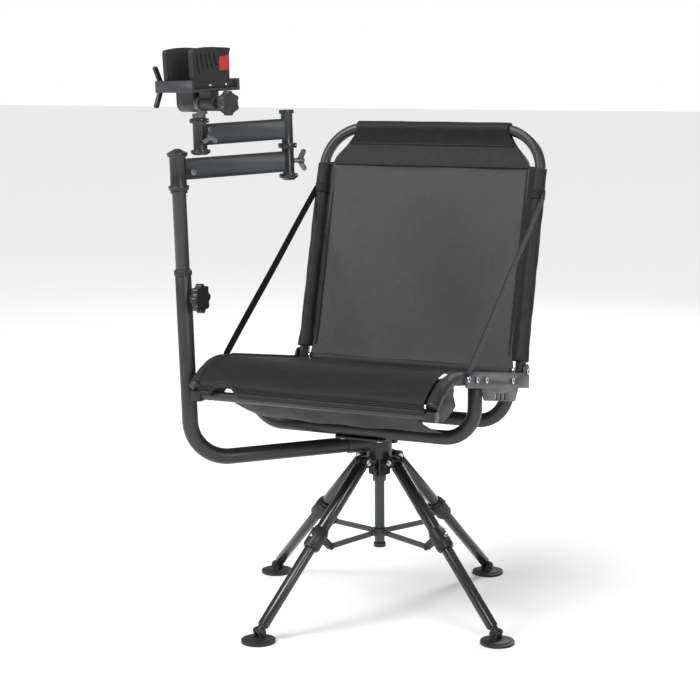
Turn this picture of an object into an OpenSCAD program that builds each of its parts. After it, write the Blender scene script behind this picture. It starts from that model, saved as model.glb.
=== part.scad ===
// Swivel field chair on a folding four-leg base, with a jointed clamping rest on a side arm.
// Millimetres. +Z is up, the chair faces -Y, and the origin is on the swivel axis at ground level.

/* [Base] */
// Side of the square on which the four feet stand
foot_square = 500; // [470:1:620]
// Turn of the leg square about the swivel axis, degrees
base_yaw = 23.5; // [0:0.5:45]
// Distance of each leg pivot from the swivel axis
hub_r = 48; // [46:1:60]
// Height of the leg pivots
hub_z = 337; // [333:1:380]
// Height of the ankle pins
ankle_z = 22; // [20:1:26]
// Radius of the foot pads
pad_r = 36; // [30:1:42]
// Width of the upper leg section, across the leg's swing
leg_w = 30; // [28:1:32]
// Depth of the upper leg section
leg_d = 25; // [24:1:27]
// Wall of the leg sections
leg_wall = 1.6; // [1.2:0.1:2.2]
// Length of the upper legs, pivot to end
leg_upper_len = 214; // [205:1:225]
// Outer radius of the centre post
centre_post_r = 11; // [9:0.5:12]
// Height of the strut pins on the spider
spider_z = 170; // [165:1:180]
// Distance of those pins from the swivel axis
spider_pin_r = 20; // [20:0.5:23]

/* [Seat] */
// Half distance between the side tubes of the seat and back, centre to centre
seat_half_w = 267; // [235:1:300]
// Slope of the seat, rear lower than front, degrees
seat_pitch = 10.4; // [6:0.1:13]
// Height of the side tubes above the swivel axis
rail_z0 = 532.3; // [520:0.1:600]
// Outer radius of the seat and back tubes
rail_r = 12; // [10:0.5:13]
// Wall of the seat, hoop and back tubes
tube_wall = 1.5; // [1.2:0.1:2]
// Bend radius at the front edge of the seat
waterfall_r = 150; // [120:1:160]
// Angle of that bend, degrees
waterfall_a = 50; // [40:1:54]
// Place where that bend starts, in front of the swivel axis
waterfall_y = -205; // [-235:1:-200]
// Outer radius of the two hoops under the seat
hoop_r = 15.5; // [13:0.5:17]
// Place of the front hoop
hoop_front_y = -92; // [-110:1:-80]
// Place of the rear hoop
hoop_rear_y = 97; // [80:1:110]
// Height of the underside of the hoops
hoop_floor_z = 404; // [403:1:420]

/* [Back] */
// Place of the back's pivot behind the swivel axis
back_pivot_y = 162; // [155:1:185]
// Height of that pivot
back_pivot_z = 524; // [518:1:560]
// Lean of the back from upright, degrees
back_lean = 15; // [8:0.5:22]
// Height of the back along its own slope, pivot to top tube
back_h = 538; // [480:1:600]
// Bend radius of the top corners
back_corner_r = 95; // [60:1:110]

/* [Support arm] */
// Height of the arm's horizontal tube at the swivel axis
arm_z = 375; // [370:0.5:375]
// Direction of the arm about the swivel axis, degrees
arm_yaw = 222.4; // [200:0.1:240]
// Droop of the arm, degrees
arm_droop = 1.5; // [0:0.1:2]
// Reach from the swivel axis to the upright
arm_reach = 419; // [390:1:450]
// Outer radius of the arm tube
arm_r = 17; // [16:0.1:17.5]
// Radius of the sliding post inside it
post_r = 14.7; // [13:0.1:15]
// Bend radius of the arm's corner
arm_bend_r = 84; // [60:1:95]
// Length of the arm's upright, above the horizontal tube's centre line
arm_upright = 397; // [360:1:430]
// Height of the lower link's underside above the arm's centre line
link_z = 595; // [590:1:640]
// Pivot distance of the lower link
lower_link_len = 271; // [255:1:290]
// Direction of the lower link, from the arm, degrees
lower_link_a = 198; // [190:1:205]
// Pivot distance of the upper link
upper_link_len = 226; // [210:0.5:228]
// Direction of the upper link, from the arm, degrees
upper_link_a = 22.5; // [16:0.5:30]
// Height of the link bars
link_h = 43.5; // [36:0.5:46]
// Thickness of the link bars
link_t = 12; // [8:0.5:16]

/* [Clamping head] */
// Direction of the head, from the arm, degrees
head_a = 123.2; // [100:0.1:150]
// Width of the cradle, across the jaws
cradle_w = 106; // [104:1:118]
// Length of the cradle, along the jaws
cradle_l = 140; // [130:1:160]
// Gap between the jaws
jaw_gap = 56; // [44:1:58]
// Length of the jaws
jaw_l = 110; // [90:1:120]
// Height of the jaws above the cradle
jaw_h = 81; // [50:1:90]
// Thickness of a jaw, without its pad
jaw_t = 12; // [10:0.5:13]
// Thickness of a jaw's rubber pad
jaw_pad_t = 3.5; // [2:0.5:5]
// Radius of the tilt knob
tilt_knob_r = 25; // [18:1:28]

/* [Hidden] */
$fn = 48;

// Clearances: a turning or sliding fit, and pieces that only pass each other
fit = 0.05;
gap = 0.3;
eps = 0.01;

// Leg line, from its pivot on the hub to the ankle pin
foot_r = foot_square / sqrt(2);
ankle_r = foot_r - 3.5;
leg_run = ankle_r - hub_r;
leg_drop = hub_z - ankle_z;
leg_len = norm([leg_run, leg_drop]);
leg_lean = atan2(leg_run, leg_drop);
leg_start = 16;
lower_w = leg_w - 2 * leg_wall - 2 * gap;
lower_d = leg_d - 2 * leg_wall - 2 * gap;
lower_top = 120;
knuckle_from = leg_upper_len - 36;
knuckle_to = leg_upper_len + 14;
knuckle_w = leg_w + 9;
knuckle_d = leg_d + 11;
button_at = leg_upper_len - 9;
button_r = 5;
button_travel = 1.5;
button_out = knuckle_d / 2 + 3.5;
button_in = leg_d / 2 + 2.5;
ankle_pin_r = 3;
clevis_in = 6;
clevis_out = 10;
pad_t = 6;
strut_t = 5;
strut_w = 11;
ear_in = strut_t / 2 + gap;
ear_out = ear_in + 3;
ear_s = 193;
ear_x = 46.6;
cheek_in = 11;
cheek_out = 15;
cheek_r = 12;
pivot_pin_r = 4;
hub_core_r = 24;
hub_low_z = hub_z - 33;
hub_top_z = hub_z + 3;

// Strut pin on the knuckle's ear, as distance from the swivel axis and height
ear_pin_r = hub_r + ear_s * sin(leg_lean) - ear_x * cos(leg_lean);
ear_pin_z = hub_z - ear_s * cos(leg_lean) - ear_x * sin(leg_lean);
strut_len = norm([ear_pin_r - spider_pin_r, ear_pin_z - spider_z]);
strut_slope = atan2(spider_z - ear_pin_z, ear_pin_r - spider_pin_r);

// Centre post, swivel shaft and carrier
post_low_z = 146;
post_collar_z = 287;
shaft_r = 8.5;
shaft_low_z = hub_low_z - 19; // above the spider's collar at the top of its travel
ring_r = 28;
plate_t = 5;
plate_z = hoop_floor_z - plate_t;
plate_w = 120;
plate_bolt_x = 44;
plate_bolt_r = 4;

// Side tubes of the seat
rail_in = rail_r - tube_wall;
rail_rear_y = back_pivot_y - rail_r - 5;
function rail_z(y) = rail_z0 - tan(seat_pitch) * y;
crest_z = rail_z(waterfall_y);
rail_straight = (rail_rear_y - waterfall_y) / cos(seat_pitch);
nose_y = waterfall_y - waterfall_r * (sin(seat_pitch) + sin(waterfall_a - seat_pitch));
nose_z = crest_z + waterfall_r * (cos(waterfall_a - seat_pitch) - cos(seat_pitch));
front_rail_z = nose_z - 20;
front_rail_r = 10;

// Hoops, brackets and their bolts
hoop_z = hoop_floor_z + hoop_r;
hoop_bend = 70;
hoop_half_w = seat_half_w + rail_r - 2.5 - hoop_r;
gusset_x = hoop_half_w + hoop_r + 0.1;
gusset_t = 2.6;
bracket_x = seat_half_w + rail_r + gap;
bracket_t = 4;
bracket_h = 36;
bracket_bolts = [-187, -139.5, -88, 68];
bolt_r = 4;
head_r = 6.5;
head_t = 3.5;

// Fabric
cap_t = 22;
fabric_t = 5;
seat_fabric_half = seat_half_w - rail_r - gap;
back_fabric_low = 3;
strap_x = seat_half_w + rail_r + 1.3;
strap_w = 22;
strap_t = 2;
strap_back_v = 393;

// Arm, links and head: heights are from the arm's centre line
arm_in = post_r + fit;
post_knob_a = -42;
receiver_r = 19.5;
receiver_to = 74;
post_from = 250;
post_to = link_z + link_h;
hub_tube_r = 17.2;
hub_flange_r = 21;
hub_top = link_z + 49;
elbow_r = 13;
elbow_pin_r = 8.5;
flange_r = 20;
upper_z = link_z + 69.5;
upper_low = upper_z - 19;
head_tube_r = 14.5;
stem_r = 10;
head_low = upper_z + 46;
stem_z = head_low + 9.5;
tilt_z = stem_z + 31.5;
lug_r = 19;
cradle_z = tilt_z + 24;
cradle_h = 24;
jaw_z = cradle_z + 7;
elbow = [arm_reach + lower_link_len * cos(lower_link_a), lower_link_len * sin(lower_link_a)];
head = elbow + upper_link_len * [cos(upper_link_a), sin(upper_link_a)];

// A path of round tube: each piece carries the next one at its end, and bends turn towards +X
module straight(len, r) {
    cylinder(h = len, r = r);
    translate([0, 0, len]) children();
}

module bend(radius, a, r) {
    translate([radius, 0, 0]) rotate([90, 0, 180])
        rotate_extrude(angle = a) translate([radius, 0]) circle(r = r);
    translate([radius * (1 - cos(a)), 0, radius * sin(a)]) rotate([0, a, 0]) children();
}

// A flat stadium with its long side along Y
module oval(w, d) {
    square([d, w - d], center = true);
    for (s = [-1, 1]) translate([0, s * (w - d) / 2]) circle(d = d);
}

// A flat bar with round ends between two points of the XY plane
module link_shape(p, q, r) {
    len = norm(q - p);
    translate(p) rotate(atan2(q.y - p.y, q.x - p.x)) translate([0, -r]) square([len, 2 * r]);
    for (c = [p, q]) translate(c) circle(r = r);
}

// Rounded rectangle centred on the origin
module soft_rect(w, h, r) {
    square([w - 2 * r, h], center = true);
    square([w, h - 2 * r], center = true);
    for (x = [-1, 1], y = [-1, 1]) translate([x * (w / 2 - r), y * (h / 2 - r)]) circle(r = r);
}

// Round knob with lobes, axis along Z from 0
module lobed_knob(r, t, lobes) {
    cylinder(h = t, r = r * 0.84);
    for (i = [0 : lobes - 1]) rotate(i * 360 / lobes) translate([r * 0.76, 0, 0])
        cylinder(h = t, r = r * 0.24);
}

// Frames of reference
module at_leg(i) { rotate(base_yaw + 225 + 90 * (i - 1)) children(); }
module on_leg(i) { at_leg(i) translate([hub_r, 0, hub_z]) rotate([0, 180 - leg_lean, 0]) children(); }
module on_arm() { translate([0, 0, arm_z]) rotate([0, arm_droop, arm_yaw]) children(); }
module on_head() { on_arm() translate([head.x, head.y, 0]) rotate(head_a) children(); }
module on_tilt() { on_head() translate([0, 0, tilt_z]) children(); }
module on_back() { translate([0, back_pivot_y, back_pivot_z]) rotate([-back_lean, 0, 0]) children(); }
module both_sides() { for (s = [0, 1]) mirror([s, 0, 0]) children(); }
// Side profile: drawn as (forward-to-rear y, height z), thickened outwards from x
module side_plate(x, t) { translate([x, 0, 0]) rotate([90, 0, 90]) linear_extrude(t) children(); }

module hub() color("#1b1b1c") difference() {
    union() {
        translate([0, 0, hub_low_z]) cylinder(h = hub_top_z - hub_low_z, r = hub_core_r);
        for (i = [1 : 4], s = [-1, 1])
            at_leg(i) translate([0, s * (cheek_in + cheek_out) / 2, 0]) rotate([90, 0, 0])
                linear_extrude(cheek_out - cheek_in, center = true) {
                    translate([hub_r, hub_z]) circle(r = cheek_r);
                    translate([hub_core_r - 6, hub_z - cheek_r])
                        square([hub_r - hub_core_r + 6, hub_top_z - hub_z + cheek_r]);
                }
    }
    translate([0, 0, hub_low_z - 1]) cylinder(h = hub_top_z - hub_low_z + 2, r = shaft_r + fit);
    for (i = [1 : 4]) at_leg(i) translate([hub_r, 0, hub_z]) rotate([90, 0, 0])
        cylinder(h = 2 * cheek_out + 2, r = pivot_pin_r, center = true);
}

module leg_pivot_pins() color("#3a3a3c") for (i = [1 : 4]) at_leg(i) translate([hub_r, 0, hub_z])
    rotate([90, 0, 0]) {
    cylinder(h = 2 * cheek_out, r = pivot_pin_r, center = true);
    for (s = [-1, 1]) translate([0, 0, s * (cheek_out + 1.5)]) cylinder(h = 3, r = 7, center = true);
}

module centre_post() color("#2a2a2c") difference() {
    union() {
        translate([0, 0, post_low_z]) cylinder(h = hub_low_z - post_low_z, r = centre_post_r);
        translate([0, 0, post_collar_z]) cylinder(h = hub_low_z - post_collar_z, r = centre_post_r + 4);
    }
    translate([0, 0, post_low_z - 1]) cylinder(h = hub_low_z - post_low_z + 2, r = shaft_r + fit);
}

module post_button() color("#202022") {
    translate([0, 0, post_low_z - 9]) cylinder(h = 9, r = centre_post_r + 2.5);
    translate([0, 0, post_low_z]) cylinder(h = 14, r = shaft_r);
}

module spider() color("#242426") difference() {
    union() {
        translate([0, 0, spider_z - 8]) cylinder(h = 16, r = centre_post_r + 3.2);
        for (i = [1 : 4]) at_leg(i) {
            for (s = [-1, 1]) translate([0, s * (ear_in + ear_out) / 2, 0]) rotate([90, 0, 0])
                linear_extrude(ear_out - ear_in, center = true) {
                    translate([spider_pin_r, spider_z]) circle(r = 6);
                    translate([centre_post_r + 1, spider_z - 6])
                        square([spider_pin_r - centre_post_r - 1, 12]);
                }
            translate([spider_pin_r, 0, spider_z]) rotate([90, 0, 0])
                cylinder(h = 2 * ear_out + 3, r = 2.2, center = true);
        }
    }
    translate([0, 0, spider_z - 9]) cylinder(h = 18, r = centre_post_r + fit);
}

module strut(i) color("#2c2c2e")
    at_leg(i) translate([spider_pin_r, 0, spider_z]) rotate([90, strut_slope, 0])
        linear_extrude(strut_t, center = true) difference() {
            union() {
                link_shape([0, 0], [strut_len, 0], 5);
                translate([9, -strut_w / 2]) square([strut_len - 18, strut_w]);
            }
            circle(r = 2.2 + fit);
        }
module strut_1() strut(1);
module strut_2() strut(2);
module strut_3() strut(3);
module strut_4() strut(4);

module leg_upper(i) color("#141415") on_leg(i) {
    difference() {
        translate([0, 0, leg_start]) linear_extrude(leg_upper_len - leg_start) oval(leg_w, leg_d);
        translate([0, 0, leg_start + 20]) linear_extrude(leg_upper_len)
            oval(leg_w - 2 * leg_wall, leg_d - 2 * leg_wall);
    }
    difference() {
        rotate([90, 0, 0]) linear_extrude(2 * (cheek_in - gap), center = true) {
            circle(r = 11);
            translate([-9, 0]) square([18, leg_start + 1]);
        }
        rotate([90, 0, 0]) cylinder(h = 2 * cheek_in + 2, r = pivot_pin_r + fit, center = true);
    }
}
module leg_upper_1() leg_upper(1);
module leg_upper_2() leg_upper(2);
module leg_upper_3() leg_upper(3);
module leg_upper_4() leg_upper(4);

module knuckle(i) color("#1a1a1b") on_leg(i) difference() {
    union() {
        translate([0, 0, knuckle_from + 7])
            linear_extrude(knuckle_to - knuckle_from - 11) oval(knuckle_w, knuckle_d);
        translate([0, 0, knuckle_from]) linear_extrude(8) oval(knuckle_w - 5, knuckle_d - 5);
        translate([0, 0, knuckle_to - 5]) linear_extrude(5) oval(knuckle_w - 4, knuckle_d - 4);
        for (s = [-1, 1]) {
            translate([0, s * (ear_in + ear_out) / 2, 0]) rotate([90, 0, 0])
                linear_extrude(ear_out - ear_in, center = true)
                    link_shape([knuckle_d / 2 - 3, ear_s], [ear_x, ear_s], 7);
            translate([ear_x, s * (ear_out + 0.9), ear_s]) rotate([90, 0, 0])
                cylinder(h = 2, r = 4.2, center = true);
        }
    }
    translate([0, 0, knuckle_from - 1]) linear_extrude(leg_upper_len - knuckle_from + 1) oval(leg_w, leg_d);
    translate([0, 0, leg_upper_len - 1]) linear_extrude(40) oval(lower_w + 2 * gap, lower_d + 2 * gap);
    translate([-button_in + button_travel + gap, 0, button_at]) rotate([0, -90, 0])
        cylinder(h = 30, r = button_r + gap);
}
module knuckle_1() knuckle(1);
module knuckle_2() knuckle(2);
module knuckle_3() knuckle(3);
module knuckle_4() knuckle(4);

module lock_button(i) color("#4a4a4d") on_leg(i) translate([-button_in, 0, button_at]) rotate([0, -90, 0]) {
    cylinder(h = button_out - button_in, r = button_r);
}
module lock_button_1() lock_button(1);
module lock_button_2() lock_button(2);
module lock_button_3() lock_button(3);
module lock_button_4() lock_button(4);

module leg_lower(i) color("#161617") on_leg(i) {
    difference() {
        translate([0, 0, lower_top]) linear_extrude(leg_len - 14 - lower_top) oval(lower_w, lower_d);
        translate([0, 0, lower_top - 1]) linear_extrude(leg_len - lower_top - 40)
            oval(lower_w - 2 * leg_wall, lower_d - 2 * leg_wall);
    }
    difference() {
        rotate([90, 0, 0]) linear_extrude(2 * (clevis_in - gap), center = true) {
            translate([0, leg_len]) circle(r = 7.5);
            translate([-7.5, leg_len - 15]) square([15, 15]);
        }
        translate([0, 0, leg_len]) rotate([90, 0, 0])
            cylinder(h = 30, r = ankle_pin_r + fit, center = true);
    }
}
module leg_lower_1() leg_lower(1);
module leg_lower_2() leg_lower(2);
module leg_lower_3() leg_lower(3);
module leg_lower_4() leg_lower(4);

module foot(i) color("#111112") at_leg(i) translate([ankle_r, 0, 0]) {
    translate([3.5, 0, 0]) cylinder(h = pad_t, r = pad_r);
    translate([3.5, 0, 0]) cylinder(h = pad_t + 2.5, r = pad_r - 7);
    for (s = [-1, 1]) {
        translate([0, s * (clevis_in + clevis_out) / 2, 0]) rotate([90, 0, 0])
            linear_extrude(clevis_out - clevis_in, center = true) {
                translate([0, ankle_z]) circle(r = 8.5);
                translate([-8.5, pad_t]) square([17, ankle_z - pad_t]);
            }
        translate([0, s * (clevis_out + 2.5), ankle_z]) rotate([90, 0, 0])
            cylinder(h = 5, r = 6, center = true);
    }
    translate([0, 0, ankle_z]) rotate([90, 0, 0])
        cylinder(h = 2 * clevis_in + 2, r = ankle_pin_r, center = true);
}
module foot_1() foot(1);
module foot_2() foot(2);
module foot_3() foot(3);
module foot_4() foot(4);

module swivel_shaft() color("#55585c") translate([0, 0, shaft_low_z])
    cylinder(h = plate_z - shaft_low_z, r = shaft_r);

module seat_carrier() color("#2b2b2d") difference() {
    translate([0, (hoop_front_y + hoop_rear_y) / 2, plate_z])
        linear_extrude(plate_t) soft_rect(plate_w, hoop_rear_y - hoop_front_y + 30, 12);
    for (x = [-1, 1], y = [hoop_front_y, hoop_rear_y])
        translate([x * plate_bolt_x, y, plate_z - 1]) cylinder(h = plate_t + 2, r = plate_bolt_r);
}

module carrier_bolts() color("#5c5f63") for (x = [-1, 1], y = [hoop_front_y, hoop_rear_y])
    translate([x * plate_bolt_x, y, plate_z - 3]) {
        cylinder(h = 3, r = plate_bolt_r + 2.5);
        cylinder(h = 3 + plate_t, r = plate_bolt_r);
    }

module hoop_path(r, side) {
    side_len = side - hoop_z - hoop_bend;
    straight(side_len, r) bend(hoop_bend, 90, r) straight(2 * (hoop_half_w - hoop_bend), r)
        bend(hoop_bend, 90, r) straight(side_len, r);
}
module hoop(y) color("#232324") {
    side = rail_z(y) - rail_r - 5;
    translate([hoop_half_w, y, side]) rotate([0, 180, 0]) difference() {
        hoop_path(hoop_r, side);
        hoop_path(hoop_r - tube_wall, side);
    }
}
module hoop_front() hoop(hoop_front_y);
module hoop_rear() hoop(hoop_rear_y);

// Bracket plates lie along the side tubes; under each hangs a gusset that ties the two hoops
module bracket_shape() {
    difference() {
        union() {
            polygon([
                [bracket_bolts[0] - 2, rail_z(bracket_bolts[0]) - bracket_h / 2],
                [bracket_bolts[0] - 16, rail_z(bracket_bolts[0])],
                [bracket_bolts[1] - 8, rail_z(bracket_bolts[1]) + bracket_h / 2],
                [back_pivot_y - 22, rail_z(back_pivot_y - 22) + bracket_h / 2],
                [back_pivot_y + 14, back_pivot_z + 8],
                [back_pivot_y + 14, rail_z(back_pivot_y) - bracket_h / 2],
            ]);
            translate([back_pivot_y, back_pivot_z]) circle(r = 16);
        }
        for (y = bracket_bolts) translate([y, rail_z(y)]) circle(r = bolt_r + fit);
        translate([back_pivot_y, back_pivot_z]) circle(r = bolt_r + fit);
    }
}
module gusset_shape() {
    drop = bracket_h / 2 + 28;
    difference() {
        polygon([
            [hoop_front_y - 14, rail_z(hoop_front_y - 14) - bracket_h / 2 + 6],
            [hoop_rear_y + 26, rail_z(hoop_rear_y + 26) - bracket_h / 2 + 6],
            [hoop_rear_y + 2, rail_z(hoop_rear_y) - drop],
            [hoop_front_y + 10, rail_z(hoop_front_y) - drop],
        ]);
        for (k = [-1 : 1]) translate([8 + 26 * k, rail_z(8 + 26 * k) - bracket_h / 2 - 17])
            link_shape([0, -4], [0, 4], 4);
    }
}
module side_brackets() color("#3b3d40") both_sides() {
    side_plate(bracket_x, bracket_t) bracket_shape();
    side_plate(gusset_x, gusset_t) gusset_shape();
}

module frame_bolts() color("#6a6d72") both_sides() {
    for (y = bracket_bolts) translate([bracket_x, y, rail_z(y)]) rotate([0, 90, 0]) {
        cylinder(h = bracket_t, r = bolt_r);
        translate([0, 0, bracket_t]) cylinder(h = head_t, r = head_r);
    }
    translate([0, back_pivot_y, back_pivot_z]) rotate([0, 90, 0]) {
        translate([0, 0, seat_half_w - rail_r - 1])
            cylinder(h = bracket_x - seat_half_w + rail_r + bracket_t + 1, r = bolt_r);
        translate([0, 0, bracket_x + bracket_t]) cylinder(h = head_t, r = head_r);
        translate([0, 0, seat_half_w - rail_r - 5]) cylinder(h = 4, r = head_r);
    }
}

module rail_path(r) { straight(rail_straight, r) bend(waterfall_r, waterfall_a, r); }
module side_rails() color("#1e1e1f") both_sides()
    translate([seat_half_w, rail_rear_y, rail_z(rail_rear_y)]) rotate([0, 90 - seat_pitch, -90])
        difference() {
        rail_path(rail_r);
        rail_path(rail_r - tube_wall);
    }

module corner_caps() color("#121213") both_sides() difference() {
    union() {
        translate([seat_half_w, nose_y, nose_z]) rotate([0, 90 - seat_pitch + waterfall_a, -90])
            cylinder(h = 7, r = rail_r + 1.5);
        translate([seat_half_w - 14, nose_y - 11, front_rail_z - 13]) cube([cap_t, cap_t, 21]);
    }
    translate([0, nose_y, front_rail_z]) rotate([0, 90, 0])
        cylinder(h = seat_half_w + gap, r = front_rail_r + fit);
}

module front_rail() color("#1e1e1f") translate([0, nose_y, front_rail_z]) rotate([0, 90, 0]) difference() {
    cylinder(h = 2 * seat_half_w, r = front_rail_r, center = true);
    cylinder(h = 2 * seat_half_w + 2, r = front_rail_r - tube_wall, center = true);
}

// Seat cloth: a sling over the side tubes, rolled down at the front edge. A skirt hangs below each
// front corner, and an apron runs from the front rail back to the front hoop
function arc_point(a, off) = [
    waterfall_y - waterfall_r * sin(seat_pitch) - (waterfall_r + off) * sin(a - seat_pitch),
    crest_z - waterfall_r * cos(seat_pitch) + (waterfall_r + off) * cos(a - seat_pitch)
];
function straight_point(y, off) = [y + off * sin(seat_pitch), rail_z(y) + off * cos(seat_pitch)];
function nose_point(a, r) = [nose_y + 2.5 - r * sin(a), nose_z - 3 + r * cos(a)];
sling_top = rail_r + 1;
sling_low = sling_top - fabric_t;
roll_r = sling_top + 4;
sling_rear_y = rail_rear_y + 5;
roll_from = waterfall_a - seat_pitch;
apron_half = 186;
apron_t = 3;
skirt_t = 2;
module sling_outline() polygon(concat(
    [straight_point(sling_rear_y, sling_top)],
    [for (a = [0 : 5 : waterfall_a]) arc_point(a, sling_top)],
    [for (a = [roll_from : 8 : 90]) nose_point(a, roll_r)],
    [[nose_y + 2.5 - roll_r, nose_z - 10], [nose_y + 2.5 - roll_r + fabric_t, nose_z - 10]],
    [for (a = [roll_from + 48 : -8 : roll_from]) nose_point(a, roll_r - fabric_t)],
    [for (a = [waterfall_a : -5 : 0]) arc_point(a, sling_low)],
    [straight_point(sling_rear_y, sling_low)]
));
module seat_fabric() color("#202021") {
    translate([-seat_fabric_half, 0, 0]) rotate([90, 0, 90])
        linear_extrude(2 * seat_fabric_half) sling_outline();
    translate([-apron_half, 0, 0]) rotate([90, 0, 90]) linear_extrude(2 * apron_half) link_shape(
        [nose_y + 13, front_rail_z - 4], [hoop_front_y - hoop_r - 4, hoop_z + 10], apron_t / 2);
    both_sides() side_plate(seat_half_w - skirt_t / 2, skirt_t) polygon(concat(
        [for (a = [6 : 6 : waterfall_a - 6]) arc_point(a, -rail_r - 2)],
        [[nose_y + 22, nose_z - 34], [nose_y + 52, nose_z - 44], [nose_y + 98, nose_z - 30]]
    ));
}

module back_path(r) {
    side_len = back_h - back_corner_r + 14;
    straight(side_len, r) bend(back_corner_r, 90, r) straight(2 * (seat_half_w - back_corner_r), r)
        bend(back_corner_r, 90, r) straight(side_len, r);
}
module back_frame() color("#19191a") on_back() difference() {
    translate([seat_half_w, 0, -14]) rotate(180) difference() {
        back_path(rail_r);
        back_path(rail_r - tube_wall);
    }
    rotate([0, 90, 0]) cylinder(h = 2 * seat_half_w + 60, r = bolt_r + fit, center = true);
}

// Back cloth: a panel between the side tubes whose top corners are cut away
module back_fabric() color("#454547") on_back() rotate([90, 0, 0])
    linear_extrude(fabric_t, center = true) polygon([
    for (s = [-1, 1]) each let (w = seat_half_w - rail_r - gap, top = back_h - rail_r - gap) s < 0
        ? [[w - 10, back_fabric_low], [w, back_fabric_low + 10], [w, top - 83], [w - 84, top]]
        : [[-w + 84, top], [-w, top - 83], [-w, back_fabric_low + 10], [-w + 10, back_fabric_low]]
]);

// Stay straps, plain and taut here: bracket front to the back's side tubes
strap_low = [bracket_bolts[0] + 24, rail_z(bracket_bolts[0]) + 25];
strap_high = [back_pivot_y + strap_back_v * sin(back_lean), back_pivot_z + strap_back_v * cos(back_lean)];
module straps() color("#1a1a1a") both_sides() side_plate(strap_x, strap_t)
    translate(strap_low) rotate(atan2(strap_high.y - strap_low.y, strap_high.x - strap_low.x))
        translate([0, -strap_w / 2]) square([norm(strap_high - strap_low), strap_w]);

module arm_receiver() color("#2a2a2c") difference() {
    union() {
        translate([0, 0, hub_top_z + gap]) cylinder(h = plate_z - hub_top_z - 2 * gap - 3, r = ring_r);
        on_arm() rotate([0, 90, 0]) cylinder(h = receiver_to, r = receiver_r);
    }
    translate([0, 0, hub_top_z - 1]) cylinder(h = 80, r = shaft_r + fit);
    on_arm() translate([ring_r - 2, 0, 0]) rotate([0, 90, 0]) cylinder(h = receiver_to, r = arm_r + fit);
    on_arm() rotate([0, -90, 0]) cylinder(h = 40, r = 4 + fit);
}

module receiver_knob() color("#161617") on_arm() rotate([0, -90, 0]) {
    translate([0, 0, shaft_r + gap]) cylinder(h = ring_r - shaft_r + 4, r = 4);
    translate([0, 0, ring_r + gap]) lobed_knob(8, 12, 6);
}

module arm_path(r) {
    straight(arm_reach - arm_bend_r - ring_r, r) bend(arm_bend_r, 90, r) straight(arm_upright - arm_bend_r, r);
}
module arm_tube() color("#1c1c1d") on_arm() difference() {
    translate([ring_r, 0, 0]) rotate([0, 90, 0]) rotate(180) difference() {
        arm_path(arm_r);
        arm_path(arm_in);
    }
    translate([arm_reach, 0, arm_upright - 48]) rotate([0, -90, post_knob_a]) cylinder(h = 40, r = 4 + fit);
}

// The post knob sits on the side of the upright towards the seat
module on_post_knob() { on_arm() translate([arm_reach, 0, arm_upright - 48])
    rotate([0, -90, post_knob_a]) children(); }
module post_knob() color("#121213") on_post_knob() {
    translate([0, 0, post_r + gap]) cylinder(h = 22, r = 4);
    translate([0, 0, arm_r + gap]) cylinder(h = 16, r = 8);
    translate([0, 0, arm_r + 15]) lobed_knob(31, 14, 8);
}

module post_collar() color("#101011") on_arm() translate([arm_reach, 0, arm_upright]) difference() {
    union() {
        cylinder(h = 10, r = arm_r + 1.8);
        translate([0, 0, 10]) cylinder(h = 3, r = arm_r - 0.5);
    }
    translate([0, 0, -1]) cylinder(h = 20, r = post_r + fit);
}

module upper_post() color("#212122") on_arm() translate([arm_reach, 0, 0]) difference() {
    union() {
        translate([0, 0, post_from]) cylinder(h = post_to - post_from, r = post_r);
        translate([0, 0, link_z - 27]) cylinder(h = 6, r = post_r + 3);
    }
    translate([0, 0, post_from - 1]) cylinder(h = post_to - post_from - 3, r = post_r - 1.6);
}

module bar(from, to, z) {
    translate([from.x, from.y, z]) rotate(atan2(to.y - from.y, to.x - from.x))
        translate([0, -link_t / 2, 0]) cube([norm(to - from), link_t, link_h]);
}
module lower_link() color("#4c4e52") on_arm() difference() {
    post = [arm_reach, 0];
    union() {
        bar(post, elbow, link_z);
        translate([arm_reach, 0, link_z - 20]) {
            cylinder(h = 9, r = hub_flange_r);
            cylinder(h = hub_top - link_z + 20, r = hub_tube_r);
            translate([0, 0, hub_top - link_z + 20]) cylinder(h = 8, r = hub_flange_r);
            translate([0, 0, hub_top - link_z + 28]) cylinder(h = 5, r1 = hub_flange_r - 1, r2 = 11);
            translate([0, 0, hub_top - link_z + 33]) cylinder(h = 3, r1 = 11, r2 = 5);
        }
        translate([elbow.x, elbow.y, link_z - 18]) {
            cylinder(h = upper_low - link_z + 18 - gap, r = elbow_r);
            translate([0, 0, 5]) cylinder(h = 8, r = flange_r);
            cylinder(h = 5, r1 = 12, r2 = flange_r - 1);
        }
    }
    translate([arm_reach, 0, link_z - 21]) cylinder(h = link_h + 22, r = post_r + fit);
    translate([elbow.x, elbow.y, link_z - 8]) cylinder(h = 80, r = elbow_pin_r + fit);
}

// Screws that lock the links: each turns about its own axis
hub_screw_along = 27;
head_screw_along = 7;
module on_hub_screw() {
    on_arm() translate([arm_reach, 0, link_z + 16]) rotate(lower_link_a)
        translate([hub_screw_along, -link_t / 2, 0]) rotate([90, 0, 0]) children();
}
module hub_screw() color("#8a8d92") on_hub_screw() {
    translate([0, 0, gap]) cylinder(h = 5, r = 4);
    translate([0, 0, 5]) cylinder(h = 7, r = 6.5);
}
module wing_screw() {
    cylinder(h = 14, r = 5);
    translate([0, 0, 14]) cylinder(h = 11, r = 7);
    for (a = [0, 180]) rotate(a) translate([0, -2, 16]) rotate([90, 0, 0]) mirror([0, 0, 1])
        linear_extrude(4) link_shape([4, 2], [18, 11], 5.5);
}
module on_elbow_screw() {
    on_arm() translate([elbow.x, elbow.y, link_z + 22]) rotate([0, 90, lower_link_a])
        translate([0, 0, elbow_r + gap]) children();
}
module elbow_screw() color("#5d6065") on_elbow_screw() wing_screw();

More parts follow.
